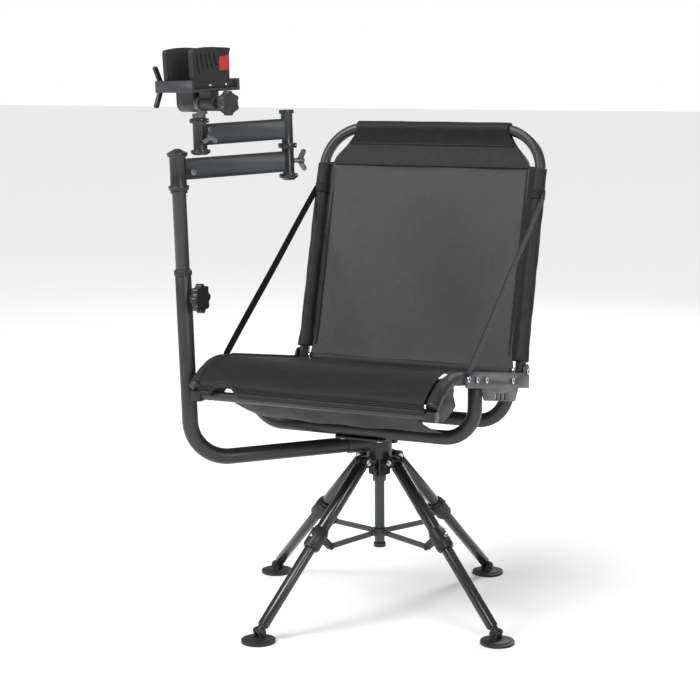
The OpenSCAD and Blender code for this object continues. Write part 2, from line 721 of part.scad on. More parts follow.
module upper_link() color("#4c4e52") on_arm() difference() {
    union() {
        bar(elbow, head, upper_z);
        translate([elbow.x, elbow.y, upper_low]) {
            cylinder(h = 10, r = flange_r);
            cylinder(h = 80, r = elbow_r - 0.5);
            translate([0, 0, 73]) cylinder(h = 8, r = 16);
            translate([0, 0, -(upper_low - link_z - 2)])
                cylinder(h = upper_low - link_z - 2, r = elbow_pin_r);
        }
        translate([head.x, head.y, upper_low]) {
            translate([0, 0, 3]) cylinder(h = 7, r = flange_r);
            cylinder(h = 3, r1 = flange_r - 6, r2 = flange_r - 1);
            cylinder(h = stem_z - upper_low, r = head_tube_r);
            translate([0, 0, stem_z - upper_low - 9]) cylinder(h = 9, r = flange_r);
        }
    }
    translate([head.x, head.y, upper_low + 6]) cylinder(h = 120, r = stem_r + fit);
}
module on_head_screw() {
    on_arm() translate([head.x, head.y, upper_z + 18]) rotate(upper_link_a + 180)
        translate([head_screw_along, -head_tube_r - gap, 0]) rotate([90, 0, 0]) children();
}
module head_screw() color("#2c2d30") on_head_screw() {
    cylinder(h = 7, r = 4.5);
    translate([0, 0, 6]) cylinder(h = 10, r = 7);
    for (a = [90, 210, 330]) rotate(a) translate([3, 0, 7.5])
        linear_extrude(6.5) polygon([[0, -3], [15, -4.5], [17, -2], [17, 2], [15, 4.5], [0, 3]]);
}

// Head: a stem with an upright lug, on which the cradle's tilt block turns
lug_from = 4;
lug_to = 14;
module head_stem() color("#9a9ca0") on_head() difference() {
    union() {
        translate([0, 0, upper_low + 8]) cylinder(h = stem_z - upper_low - 8, r = stem_r);
        translate([0, 0, stem_z + gap]) cylinder(h = 10, r = 14);
        translate([0, 0, stem_z - 1]) cylinder(h = 4, r = stem_r);
        translate([lug_from, 0, tilt_z]) rotate([0, 90, 0]) cylinder(h = lug_to - lug_from, r = lug_r);
        translate([lug_from, -11, stem_z + 9]) cube([lug_to - lug_from, 22, tilt_z - stem_z - 9]);
    }
    translate([0, 0, tilt_z]) rotate([0, 90, 0]) cylinder(h = 200, r = 5 + fit, center = true);
}

module cradle() color("#2f3033") on_tilt() difference() {
    union() {
        // Tilt blocks on both sides of the lug
        translate([-46, 0, 0]) rotate([0, 90, 0]) cylinder(h = 46 + lug_from - gap, r = 18.5);
        translate([-46, -18.5, 0]) cube([46 + lug_from - gap, 37, cradle_z - tilt_z + 1]);
        translate([lug_to + gap, 0, 0]) rotate([0, 90, 0]) cylinder(h = 42, r = 16);
        translate([lug_to + gap, -12, 0]) cube([34, 24, cradle_z - tilt_z + 1]);
        // Tray with end walls
        translate([-cradle_w / 2, -cradle_l / 2, cradle_z - tilt_z]) cube([cradle_w, cradle_l, 6]);
        for (s = [-1, 1]) translate([-cradle_w / 2, s * (cradle_l / 2 - 3.5) - 3.5, cradle_z - tilt_z])
            cube([cradle_w, 7, cradle_h]);
    }
    rotate([0, 90, 0]) cylinder(h = 200, r = 5 + fit, center = true);
}

module tilt_knob() color("#3a3b3e") on_tilt() rotate([0, 90, 0]) {
    translate([0, 0, -47]) cylinder(h = 47 + 60, r = 5);
    translate([0, 0, -50]) cylinder(h = 3, r = 9);
    translate([0, 0, lug_to + 42 + 2 * gap]) cylinder(h = 20 - 2 * gap, r = 9);
    translate([0, 0, lug_to + 62]) lobed_knob(tilt_knob_r, 17, 6);
}

// A jaw: upright plate with a peaked top, on a foot that slides in the tray. Its pad faces the gap
module jaw() {
    foot_z = cradle_z - tilt_z + 6 + gap;
    translate([jaw_gap / 2 + jaw_pad_t, 0, 0]) rotate([90, 0, 90]) linear_extrude(jaw_t) polygon([
        [-jaw_l / 2, foot_z + 10], [-jaw_l / 2, foot_z + jaw_h - 4], [0, foot_z + jaw_h + 2],
        [jaw_l / 2 - 16, foot_z + jaw_h], [jaw_l / 2, foot_z + jaw_h - 6], [jaw_l / 2 - 4, foot_z + 10]
    ]);
    translate([jaw_gap / 2 + jaw_pad_t, -cradle_l / 2 + 9, foot_z]) cube([jaw_t + 4, cradle_l - 18, 12]);
    translate([jaw_gap / 2, -jaw_l / 2 + 3, foot_z + 15]) cube([jaw_pad_t + 1, jaw_l - 12, jaw_h - 24]);
}
module jaw_near() color("#19191a") on_tilt() jaw();
module jaw_far() color("#19191a") on_tilt() mirror([1, 0, 0]) jaw();

lever_at = [-cradle_l / 2 + 26, cradle_z - tilt_z + 13];
module on_lever() { on_tilt() translate([-cradle_w / 2 - gap, lever_at.x, lever_at.y])
    rotate([0, -90, 0]) children(); }
module cam_lever() color("#151516") on_lever() {
    cylinder(h = 12, r = 9);
    translate([0, 0, 3]) linear_extrude(7) {
        link_shape([0, 0], [36, -16], 4.5);
        link_shape([0, 0], [-40, -18], 4.5);
    }
}

hub();
centre_post();
post_button();
leg_pivot_pins();
spider();
strut_1();
strut_2();
strut_3();
strut_4();
leg_upper_1();
leg_upper_2();
leg_upper_3();
leg_upper_4();
knuckle_1();
knuckle_2();
knuckle_3();
knuckle_4();
lock_button_1();
lock_button_2();
lock_button_3();
lock_button_4();
leg_lower_1();
leg_lower_2();
leg_lower_3();
leg_lower_4();
foot_1();
foot_2();
foot_3();
foot_4();
swivel_shaft();
seat_carrier();
carrier_bolts();
hoop_front();
hoop_rear();
side_brackets();
frame_bolts();
side_rails();
corner_caps();
front_rail();
seat_fabric();
back_frame();
back_fabric();
straps();
arm_receiver();
receiver_knob();
arm_tube();
post_knob();
post_collar();
upper_post();
lower_link();
hub_screw();
elbow_screw();
upper_link();
head_screw();
head_stem();
tilt_knob();
cradle();
jaw_near();
jaw_far();
cam_lever();
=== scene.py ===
import math

import bmesh
import bpy
from mathutils import Matrix, Vector


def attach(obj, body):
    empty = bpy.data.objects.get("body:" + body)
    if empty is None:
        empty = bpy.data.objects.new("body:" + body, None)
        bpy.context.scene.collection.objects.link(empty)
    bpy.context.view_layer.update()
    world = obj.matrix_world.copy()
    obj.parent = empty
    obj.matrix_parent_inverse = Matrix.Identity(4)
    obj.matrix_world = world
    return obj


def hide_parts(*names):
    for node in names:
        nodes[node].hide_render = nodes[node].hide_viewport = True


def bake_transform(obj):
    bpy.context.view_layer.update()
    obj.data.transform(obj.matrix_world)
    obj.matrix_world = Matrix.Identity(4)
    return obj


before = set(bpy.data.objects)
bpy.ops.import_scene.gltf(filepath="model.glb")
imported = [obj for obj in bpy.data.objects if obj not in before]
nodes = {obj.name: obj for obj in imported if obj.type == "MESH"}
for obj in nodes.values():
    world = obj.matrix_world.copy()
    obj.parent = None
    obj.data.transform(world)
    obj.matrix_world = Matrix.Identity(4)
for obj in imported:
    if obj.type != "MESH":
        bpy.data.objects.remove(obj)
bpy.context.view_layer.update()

# ---------------------------------------------------------------------------------------------
# Leg base: four telescopic legs on a cast hub, powder coated black, with a grey folding spider.
# Die-cast hub and knuckles have a fine sand texture; tubes are rolled, with a glossier coat.


def shader_group(name, inputs, outputs):
    """An empty shader node group with float, vector or colour sockets."""
    tree = bpy.data.node_groups.new(name, "ShaderNodeTree")
    for socket, kind, value in inputs:
        made = tree.interface.new_socket(socket, in_out="INPUT", socket_type="NodeSocket" + kind)
        if value is not None:
            made.default_value = value
    for socket, kind in outputs:
        tree.interface.new_socket(socket, in_out="OUTPUT", socket_type="NodeSocket" + kind)
    return tree, tree.nodes.new("NodeGroupInput"), tree.nodes.new("NodeGroupOutput")


def wire(tree, source, target):
    tree.links.new(source, target)


def math_node(tree, operation, first, second=None, clamp=False):
    node = tree.nodes.new("ShaderNodeMath")
    node.operation = operation
    node.use_clamp = clamp
    for index, value in enumerate((first, second)):
        if value is None:
            continue
        if isinstance(value, (int, float)):
            node.inputs[index].default_value = value
        else:
            wire(tree, value, node.inputs[index])
    return node.outputs[0]


def noise(tree, vector, scale, detail=3.0, roughness=0.55):
    node = tree.nodes.new("ShaderNodeTexNoise")
    node.inputs["Detail"].default_value = detail
    node.inputs["Roughness"].default_value = roughness
    wire(tree, vector, node.inputs["Vector"])
    if isinstance(scale, (int, float)):
        node.inputs["Scale"].default_value = scale
    else:
        wire(tree, scale, node.inputs["Scale"])
    return node.outputs["Fac"]


def remap(tree, value, low, high, to_low, to_high):
    node = tree.nodes.new("ShaderNodeMapRange")
    wire(tree, value, node.inputs["Value"])
    for socket, number in (("From Min", low), ("From Max", high), ("To Min", to_low), ("To Max", to_high)):
        if isinstance(number, (int, float)):
            node.inputs[socket].default_value = number
        else:
            wire(tree, number, node.inputs[socket])
    return node.outputs["Result"]


def make_coat_grain():
    """Orange peel of a sprayed or moulded skin, and slow patches of more and less gloss."""
    tree, group_in, group_out = shader_group(
        "coat_grain",
        [
            ("Vector", "Vector", None), ("Scale", "Float", 900.0),
            ("Smooth", "Float", 0.3), ("Dull", "Float", 0.45),
        ],
        [("Roughness", "Float"), ("Height", "Float"), ("Patch", "Float")],
    )
    fine = noise(tree, group_in.outputs["Vector"], group_in.outputs["Scale"], 2.0)
    patch = noise(tree, group_in.outputs["Vector"], 14.0, 4.0)
    roughness = remap(tree, patch, 0.3, 0.7, group_in.outputs["Smooth"], group_in.outputs["Dull"])
    wire(tree, roughness, group_out.inputs["Roughness"])
    wire(tree, fine, group_out.inputs["Height"])
    wire(tree, patch, group_out.inputs["Patch"])
    return tree


def make_edge_wear():
    """A mask along outer edges, broken up by noise, where a coat rubs thin."""
    tree, group_in, group_out = shader_group(
        "edge_wear", [("Vector", "Vector", None), ("Amount", "Float", 0.5)], [("Mask", "Float")]
    )
    rounded = tree.nodes.new("ShaderNodeBevel")
    rounded.samples = 4
    rounded.inputs["Radius"].default_value = 0.0012
    surface = tree.nodes.new("ShaderNodeNewGeometry")
    dot = tree.nodes.new("ShaderNodeVectorMath")
    dot.operation = "DOT_PRODUCT"
    wire(tree, rounded.outputs["Normal"], dot.inputs[0])
    wire(tree, surface.outputs["Normal"], dot.inputs[1])
    bent = math_node(tree, "SUBTRACT", 1.0, dot.outputs["Value"], clamp=True)
    worn = noise(tree, group_in.outputs["Vector"], 130.0, 4.0)
    broken = remap(tree, worn, 0.42, 0.62, 0.0, 5.0)
    patchy = math_node(tree, "MULTIPLY", bent, broken)
    mask = math_node(tree, "MULTIPLY", patchy, group_in.outputs["Amount"], clamp=True)
    wire(tree, mask, group_out.inputs["Mask"])
    return tree


coat_grain = make_coat_grain()
edge_wear = make_edge_wear()


def new_material(name):
    """A material with its Principled shader, node tree and object coordinates."""
    material = bpy.data.materials.new(name)
    material.use_nodes = True
    tree = material.node_tree
    shader = tree.nodes["Principled BSDF"]
    place = tree.nodes.new("ShaderNodeTexCoord")
    return material, tree, shader, place


def group_node(tree, group, **values):
    node = tree.nodes.new("ShaderNodeGroup")
    node.node_tree = group
    for name, value in values.items():
        node.inputs[name].default_value = value
    return node


def mix_colour(tree, factor, first, second):
    node = tree.nodes.new("ShaderNodeMix")
    node.data_type = "RGBA"
    for socket, value in ((node.inputs[0], factor), (node.inputs[6], first), (node.inputs[7], second)):
        if isinstance(value, (int, float)):
            socket.default_value = value
        elif isinstance(value, tuple):
            socket.default_value = (*value, 1.0)
        else:
            wire(tree, value, socket)
    return node.outputs[2]


def add_bump(tree, shader, height, strength, distance):
    bump = tree.nodes.new("ShaderNodeBump")
    bump.inputs["Strength"].default_value = strength
    bump.inputs["Distance"].default_value = distance
    wire(tree, height, bump.inputs["Height"])
    wire(tree, bump.outputs["Normal"], shader.inputs["Normal"])


def coated(name, colour, worn, smooth, dull, scale=900.0, bump=0.15, metallic=0.0, coat=0.0, wear=0.5):
    """Sprayed, cast or moulded skin: colour patches, grain, and edges rubbed to the worn colour."""
    material, tree, shader, place = new_material(name)
    grain = group_node(tree, coat_grain, Scale=scale, Smooth=smooth, Dull=dull)
    edges = group_node(tree, edge_wear, Amount=wear)
    wire(tree, place.outputs["Object"], grain.inputs["Vector"])
    wire(tree, place.outputs["Object"], edges.inputs["Vector"])
    lighter = tuple(min(1.0, c * 1.35 + 0.002) for c in colour)
    base = mix_colour(tree, remap(tree, grain.outputs["Patch"], 0.35, 0.7, 0.0, 1.0), colour, lighter)
    wire(tree, mix_colour(tree, edges.outputs["Mask"], base, worn), shader.inputs["Base Color"])
    wire(tree, grain.outputs["Roughness"], shader.inputs["Roughness"])
    add_bump(tree, shader, grain.outputs["Height"], bump, 0.0004)
    shader.inputs["Metallic"].default_value = metallic
    shader.inputs["Coat Weight"].default_value = coat
    shader.inputs["Coat Roughness"].default_value = 0.12
    return material


gloss_black = coated(
    "gloss_black", (0.010, 0.010, 0.011), (0.10, 0.10, 0.105), 0.20, 0.30, 700.0, 0.08, coat=0.35)
satin_black = coated(
    "satin_black", (0.020, 0.020, 0.021), (0.12, 0.12, 0.125), 0.33, 0.42, 900.0, 0.12, coat=0.1)
cast_black = coated(
    "cast_black", (0.014, 0.014, 0.015), (0.14, 0.14, 0.145), 0.30, 0.46, 420.0, 0.35, wear=0.7)
strut_grey = coated(
    "strut_grey", (0.035, 0.036, 0.039), (0.20, 0.20, 0.21), 0.34, 0.48, 900.0, 0.15, wear=0.7)
moulded_black = coated(
    "moulded_black", (0.012, 0.012, 0.012), (0.05, 0.05, 0.05), 0.36, 0.52, 520.0, 0.3, wear=0.35)
bright_steel = coated(
    "bright_steel", (0.46, 0.47, 0.49), (0.75, 0.75, 0.76), 0.18, 0.34, 1400.0, 0.08, metallic=1.0)
foot_rubber = coated(
    "foot_rubber", (0.011, 0.011, 0.011), (0.06, 0.06, 0.058), 0.42, 0.62, 300.0, 0.45, wear=0.6)


def finish_node(name, material, edge=0.0006):
    """Gives a frame part its finish and a small radius on its edges."""
    part = nodes[name]
    part.data.materials.clear()
    part.data.materials.append(material)
    part.data.polygons.foreach_set("material_index", [0] * len(part.data.polygons))
    part.data.polygons.foreach_set("use_smooth", [True] * len(part.data.polygons))
    weld = part.modifiers.new("weld", "WELD")
    weld.merge_threshold = 0.00001
    if edge:
        bevel = part.modifiers.new("edge_radius", "BEVEL")
        bevel.width = edge
        bevel.segments = 2
        bevel.limit_method = "ANGLE"
        bevel.angle_limit = math.radians(32)
        bevel.harden_normals = True


finish_node("hub", cast_black, 0.001)
post_grey = coated("post_grey", (0.022, 0.028, 0.027), (0.1, 0.12, 0.115), 0.26, 0.38, coat=0.2)
finish_node("centre_post", post_grey)
finish_node("post_button", moulded_black, 0.001)
finish_node("leg_pivot_pins", bright_steel)
finish_node("spider", strut_grey)
finish_node("swivel_shaft", bright_steel)
for i in range(1, 5):
    finish_node(f"strut_{i}", strut_grey)
    finish_node(f"leg_upper_{i}", gloss_black)
    finish_node(f"knuckle_{i}", moulded_black, 0.0012)
    finish_node(f"lock_button_{i}", bright_steel, 0.0008)
    finish_node(f"leg_lower_{i}", gloss_black)
    finish_node(f"foot_{i}", foot_rubber, 0.0012)

# ---------------------------------------------------------------------------------------------
# Seat frame: bent steel tubes and two hoops under the seat, bolted through grey bracket plates.
# Each bolt is a button head with a hexagon socket, pressed from bright zinc-plated steel.

bracket_coat = coated(
    "bracket_coat", (0.020, 0.021, 0.023), (0.16, 0.165, 0.17), 0.36, 0.5, 1300.0, 0.3, wear=0.8)
hoop_coat = coated("hoop_coat", (0.020, 0.020, 0.021), (0.12, 0.12, 0.125), 0.36, 0.46, 900.0, 0.12)
for name in ("hoop_front", "hoop_rear"):
    finish_node(name, hoop_coat)
for name in ("side_rails", "front_rail"):
    finish_node(name, satin_black)
for name in ("seat_carrier", "side_brackets"):
    finish_node(name, bracket_coat, 0.0008)
finish_node("corner_caps", moulded_black, 0.0015)
finish_node("frame_bolts", bright_steel, 0.0009)
finish_node("carrier_bolts", bright_steel)


def geometry_tree(name, inputs):
    """An empty geometry node tree with named inputs, a geometry input and a geometry output."""
    tree = bpy.data.node_groups.new(name, "GeometryNodeTree")
    tree.interface.new_socket("Geometry", in_out="INPUT", socket_type="NodeSocketGeometry")
    for socket, kind, value in inputs:
        made = tree.interface.new_socket(socket, in_out="INPUT", socket_type="NodeSocket" + kind)
        if value is not None:
            made.default_value = value
    tree.interface.new_socket("Geometry", in_out="OUTPUT", socket_type="NodeSocketGeometry")
    return tree, tree.nodes.new("NodeGroupInput"), tree.nodes.new("NodeGroupOutput")


def end_tree(tree, group_in, group_out, geometry):
    realize = tree.nodes.new("GeometryNodeRealizeInstances")
    dress = tree.nodes.new("GeometryNodeSetMaterial")
    wire(tree, geometry, realize.inputs["Geometry"])
    wire(tree, realize.outputs["Geometry"], dress.inputs["Geometry"])
    wire(tree, group_in.outputs["Material"], dress.inputs["Material"])
    wire(tree, dress.outputs["Geometry"], group_out.inputs["Geometry"])


def run_tree(name, tree, points, edges, material, smooth=False, **values):
    """Runs a tree on points and edges and keeps the result as a plain mesh piece."""
    mesh = bpy.data.meshes.new(name + "_path")
    mesh.from_pydata([tuple(p) for p in points], edges, [])
    seed = bpy.data.objects.new(name, mesh)
    bpy.context.scene.collection.objects.link(seed)
    modifier = seed.modifiers.new("grow", "NODES")
    modifier.node_group = tree
    keys = {item.name: item.identifier for item in tree.interface.items_tree if item.in_out == "INPUT"}
    modifier[keys["Material"]] = material
    for socket, value in values.items():
        modifier[keys[socket]] = value
    depsgraph = bpy.context.evaluated_depsgraph_get()
    grown = bpy.data.meshes.new_from_object(seed.evaluated_get(depsgraph))
    grown.name = name
    seed.modifiers.clear()
    seed.data = grown
    if smooth:
        grown.polygons.foreach_set("use_smooth", [True] * len(grown.polygons))
    return seed


def make_socket_heads():
    """A thin hexagonal disc at every point, turned by one rotation, that carries the painted shade of a socket
    recess.
    """
    tree, group_in, group_out = geometry_tree(
        "socket_heads",
        [
            ("Radius", "Float", 0.003), ("Depth", "Float", 0.0008),
            ("Turn", "Vector", (0, 0, 0)), ("Material", "Material", None),
        ],
    )
    to_points = tree.nodes.new("GeometryNodeMeshToPoints")
    hexagon = tree.nodes.new("GeometryNodeMeshCylinder")
    hexagon.inputs["Vertices"].default_value = 6
    place = tree.nodes.new("GeometryNodeInstanceOnPoints")
    wire(tree, group_in.outputs["Geometry"], to_points.inputs["Mesh"])
    wire(tree, group_in.outputs["Radius"], hexagon.inputs["Radius"])
    wire(tree, group_in.outputs["Depth"], hexagon.inputs["Depth"])
    wire(tree, to_points.outputs["Points"], place.inputs["Points"])
    wire(tree, hexagon.outputs["Mesh"], place.inputs["Instance"])
    wire(tree, group_in.outputs["Turn"], place.inputs["Rotation"])
    end_tree(tree, group_in, group_out, place.outputs["Instances"])
    return tree


socket_heads = make_socket_heads()
SEAT_HALF, SEAT_PITCH = 0.267, math.radians(10.4)
# near-black hexagon on each bolt head: painted shade of the hex socket, which is not cut into the head
socket_shade = coated("socket_shade", (0.006, 0.006, 0.006), (0.05, 0.05, 0.05), 0.4, 0.6)


def rail_z(y):
    return 0.5323 - math.tan(SEAT_PITCH) * y


BOLT_Y = (-0.187, -0.1395, -0.088, 0.068)
for side, sign in (("left", 1), ("right", -1)):
    heads = [(sign * 0.28695, y, rail_z(y)) for y in BOLT_Y] + [(sign * 0.28695, 0.162, 0.524)]
    sockets = run_tree(
        f"bolt_sockets_{side}", socket_heads, heads, [], socket_shade,
        Radius=0.0034, Depth=0.0006, Turn=(0.0, math.pi / 2, 0.0),
    )
    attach(sockets, "seat")

# ---------------------------------------------------------------------------------------------
# Seat cloth: heavy woven polyester stretched between the side tubes. Sleeves are sewn round the
# tubes, the front edge is turned over the nose and hemmed, and an apron hangs behind the rail.


def make_weave():
    """Plain weave on the cloth's own length and width: thread crowns, and slub along both ways."""
    tree, group_in, group_out = shader_group(
        "weave",
        [("Vector", "Vector", None), ("Threads", "Float", 900.0)],
        [("Height", "Float"), ("Crown", "Float"), ("Slub", "Float")],
    )
    split = tree.nodes.new("ShaderNodeSeparateXYZ")
    wire(tree, group_in.outputs["Vector"], split.inputs["Vector"])
    turns = math_node(tree, "MULTIPLY", group_in.outputs["Threads"], math.pi)
    across = math_node(tree, "SINE", math_node(tree, "MULTIPLY", split.outputs["X"], turns))
    along = math_node(tree, "SINE", math_node(tree, "MULTIPLY", split.outputs["Y"], turns))
    crown = remap(tree, math_node(tree, "MULTIPLY", across, along), -1.0, 1.0, 0.0, 1.0)
    slub = noise(tree, group_in.outputs["Vector"], 60.0, 5.0, 0.65)
    uneven = math_node(tree, "MULTIPLY", slub, 0.8)
    wire(tree, math_node(tree, "ADD", crown, uneven), group_out.inputs["Height"])
    wire(tree, crown, group_out.inputs["Crown"])
    wire(tree, slub, group_out.inputs["Slub"])
    return tree


weave = make_weave()


def cloth_material(name, valley_shade, crown, threads, smooth, dull, bump=0.35, sheen=0.05):
    """Woven cloth: darker between threads and lighter on their crowns, as painted shade and painted highlight
    of the weave, with slubs and a soft sheen.
    """
    material, tree, shader, place = new_material(name)
    cloth = group_node(tree, weave, Threads=threads)
    wire(tree, place.outputs["UV"], cloth.inputs["Vector"])
    # the colour follows the weave's height: painted shade in the valleys, painted highlight on the crowns
    woven = mix_colour(tree, cloth.outputs["Crown"], valley_shade, crown)
    faded = tuple(min(1.0, c * 1.5) for c in crown)
    cloudy = remap(tree, cloth.outputs["Slub"], 0.45, 0.75, 0.0, 0.55)
    wire(tree, mix_colour(tree, cloudy, woven, faded), shader.inputs["Base Color"])
    wire(tree, remap(tree, cloth.outputs["Slub"], 0.3, 0.7, smooth, dull), shader.inputs["Roughness"])
    add_bump(tree, shader, cloth.outputs["Height"], bump, 0.0003)
    shader.inputs["Sheen Weight"].default_value = sheen
    shader.inputs["Sheen Roughness"].default_value = 0.4
    shader.inputs["Specular IOR Level"].default_value = 0.2
    return material


seat_weave = cloth_material("seat_weave", (0.006, 0.006, 0.0065), (0.014, 0.014, 0.015), 1100.0, 0.5, 0.68)
sleeve_cloth = cloth_material("sleeve_cloth", (0.012, 0.012, 0.0125), (0.026, 0.026, 0.027), 900.0, 0.42, 0.6)
apron_cloth = cloth_material("apron_cloth", (0.008, 0.008, 0.0085), (0.018, 0.018, 0.019), 800.0, 0.5, 0.7)


def link_mesh(name, vertices, faces, material, smooth=True):
    """A mesh piece with outward faces, in place."""
    mesh = bpy.data.meshes.new(name)
    mesh.from_pydata([tuple(v) for v in vertices], [], faces)
    mesh.materials.append(material)
    built = bmesh.new()
    built.from_mesh(mesh)
    bmesh.ops.recalc_face_normals(built, faces=built.faces)
    built.to_mesh(mesh)
    built.free()
    mesh.polygons.foreach_set("use_smooth", [smooth] * len(mesh.polygons))
    piece = bpy.data.objects.new(name, mesh)
    bpy.context.scene.collection.objects.link(piece)
    return piece


def cloth_grid(name, rows, material, thickness, levels=1):
    """A cloth panel from rows of points, with its own length and width as UV, made solid."""
    count = len(rows[0])
    vertices = [Vector(p) for row in rows for p in row]
    faces = [
        (r * count + c, r * count + c + 1, (r + 1) * count + c + 1, (r + 1) * count + c)
        for r in range(len(rows) - 1)
        for c in range(count - 1)
    ]
    piece = link_mesh(name, vertices, faces, material)
    middle = len(rows) // 2
    run, rise = [0.0], [0.0]
    for c in range(1, count):
        run.append(run[-1] + (Vector(rows[middle][c]) - Vector(rows[middle][c - 1])).length)
    for r in range(1, len(rows)):
        rise.append(rise[-1] + (Vector(rows[r][count // 2]) - Vector(rows[r - 1][count // 2])).length)
    uv = piece.data.uv_layers.new(name="UVMap")
    for loop in piece.data.loops:
        uv.data[loop.index].uv = (run[loop.vertex_index % count], rise[loop.vertex_index // count])
    solid = piece.modifiers.new("thickness", "SOLIDIFY")
    solid.thickness = thickness
    solid.offset = 0.0
    if levels:
        smooth = piece.modifiers.new("smooth", "SUBSURF")
        smooth.levels = smooth.render_levels = levels
    return piece


def keep_mesh(piece):
    """Applies a piece's modifiers, so that its mesh is final."""
    depsgraph = bpy.context.evaluated_depsgraph_get()
    final = bpy.data.meshes.new_from_object(piece.evaluated_get(depsgraph))
    piece.modifiers.clear()
    piece.data = final
    return piece


WATERFALL_Y, WATERFALL_R, WATERFALL_A = -0.205, 0.150, math.radians(50)
CREST_Z = rail_z(WATERFALL_Y)
ARC_Y = WATERFALL_Y - WATERFALL_R * math.sin(SEAT_PITCH)
ARC_Z = CREST_Z - WATERFALL_R * math.cos(SEAT_PITCH)
NOSE_Y = ARC_Y - WATERFALL_R * math.sin(WATERFALL_A - SEAT_PITCH)
NOSE_Z = ARC_Z + WATERFALL_R * math.cos(WATERFALL_A - SEAT_PITCH)


def rail_stations(rear, straight_count, arc_count):
    """Points of the side tube's centre line from the rear, each with its upward normal."""
    up = Vector((0, math.sin(SEAT_PITCH), math.cos(SEAT_PITCH)))
    stations = []
    for k in range(straight_count):
        y = rear + (WATERFALL_Y - rear) * k / straight_count
        stations.append((Vector((0, y, rail_z(y))), up))
    for k in range(arc_count + 1):
        angle = WATERFALL_A * k / arc_count - SEAT_PITCH
        normal = Vector((0, -math.sin(angle), math.cos(angle)))
        stations.append((Vector((0, ARC_Y, ARC_Z)) + normal * WATERFALL_R, normal))
    return stations


sleeve_rows = rail_stations(0.143, 26, 20)
panel_rows = rail_stations(0.1495, 26, 20)
for angle in (47, 54, 61, 68, 75, 82):
    turned = math.radians(angle)
    normal = Vector((0, -math.sin(turned), math.cos(turned)))
    panel_rows.append((Vector((0, NOSE_Y + 0.0025, NOSE_Z - 0.002)) + normal * 0.003, normal))

SAG = 0.011
PANEL_HALF = 0.2545
rows = []
for index, (centre, up) in enumerate(panel_rows):
    t = index / (len(panel_rows) - 1)
    fade = min(1.0, 0.3 + 0.09 * index) if index < 30 else max(0.12, 1.0 - (index - 30) / 16)
    row = []
    for c in range(41):
        u = -1 + 2 * c / 40
        x = PANEL_HALF * u
        drop = SAG * (1 - u * u) * fade
        pull = 0.0014 * math.sin(5.0 * u + 7.0 * t) * (1 - u * u)
        pull += 0.0012 * math.sin(16 * u) * (1 - t) * u * u
        row.append(centre + up * (0.0132 - drop + pull) + Vector((x, 0, 0)))
    rows.append(row)
for step in (0.34, 0.67, 1.0):
    row = []
    for c, edge in enumerate(rows[len(panel_rows) - 1]):
        u = -1 + 2 * c / 40
        slot = min(1.0, max(0.0, (0.115 - abs(u + 0.76)) / 0.03))
        row.append(edge + Vector((0, -0.0004 * step, -(0.0135 - 0.0175 * slot) * step)))
    rows.append(row)
seat_panel = cloth_grid("seat_panel", rows, seat_weave, 0.0022)

# Hem bead along the turned front edge
hem_rows = []
for c in range(41):
    u = -1 + 2 * c / 40
    edge = rows[-1][c]
    ring = []
    for k in range(9):
        a = 2 * math.pi * k / 8
        ring.append(edge + Vector((0, 0.0027 * math.cos(a), 0.0042 * math.sin(a) + 0.001)))
    hem_rows.append(ring)
seat_hem = cloth_grid("seat_front_hem", hem_rows, sleeve_cloth, 0.0008, 0)

# Sleeves round both side tubes
sleeves = []
for side, sign in (("left", 1), ("right", -1)):
    sleeve = []
    for index, (centre, up) in enumerate(sleeve_rows):
        ring = []
        for k in range(25):
            a = math.radians(205 + 335 * k / 24)
            r = 0.0133 + 0.0004 * math.sin(3 * a + 0.7 * index) + 0.0003 * math.sin(1.3 * index)
            tube_side = Vector((sign * (SEAT_HALF - 0.0002), 0, 0))
            ring.append(centre + tube_side + Vector((sign * r * math.cos(a), 0, 0)) + up * (r * math.sin(a)))
        inner = ring[-1]
        for extra in (0.010, 0.021):
            ring.append(inner + Vector((-sign * extra, 0, 0)) - up * (0.0006 + 0.05 * extra))
        ring[-1] = ring[-1] - up * 0.0004
        sleeve.append(ring)
    piece = cloth_grid(f"seat_sleeve_{side}", sleeve, sleeve_cloth, 0.0014)
    sleeves.append(piece)


def make_stitch_run():
    """Short thread stitches at an even pitch along a line."""
    tree, group_in, group_out = geometry_tree(
        "stitch_run",
        [
            ("Pitch", "Float", 0.004), ("Stitch", "Float", 0.0026),
            ("Thread", "Float", 0.0005), ("Material", "Material", None),
        ],
    )
    to_curve = tree.nodes.new("GeometryNodeMeshToCurve")
    spaced = tree.nodes.new("GeometryNodeResampleCurve")
    spaced.mode = "LENGTH"
    tangent = tree.nodes.new("GeometryNodeInputTangent")
    turn = tree.nodes.new("FunctionNodeAlignRotationToVector")
    turn.axis = "Z"
    thread = tree.nodes.new("GeometryNodeMeshCylinder")
    thread.inputs["Vertices"].default_value = 5
    place = tree.nodes.new("GeometryNodeInstanceOnPoints")
    wire(tree, group_in.outputs["Geometry"], to_curve.inputs["Mesh"])
    wire(tree, to_curve.outputs["Curve"], spaced.inputs["Curve"])
    wire(tree, group_in.outputs["Pitch"], spaced.inputs["Length"])
    wire(tree, tangent.outputs["Tangent"], turn.inputs["Vector"])
    wire(tree, group_in.outputs["Thread"], thread.inputs["Radius"])
    wire(tree, group_in.outputs["Stitch"], thread.inputs["Depth"])
    wire(tree, spaced.outputs["Curve"], place.inputs["Points"])
    wire(tree, thread.outputs["Mesh"], place.inputs["Instance"])
    wire(tree, turn.outputs["Rotation"], place.inputs["Rotation"])
    end_tree(tree, group_in, group_out, place.outputs["Instances"])
    return tree


stitch_run = make_stitch_run()
thread_black = coated("thread_black", (0.03, 0.03, 0.031), (0.05, 0.05, 0.05), 0.5, 0.65, wear=0.0)


def stitches(name, lines, body, **values):
    """One stitched seam piece from several lines of points."""
    points, edges = [], []
    for line in lines:
        start = len(points)
        points += line
        edges += [(start + k, start + k + 1) for k in range(len(line) - 1)]
    seam = run_tree(name, stitch_run, points, edges, thread_black, **values)
    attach(seam, body)
    return seam


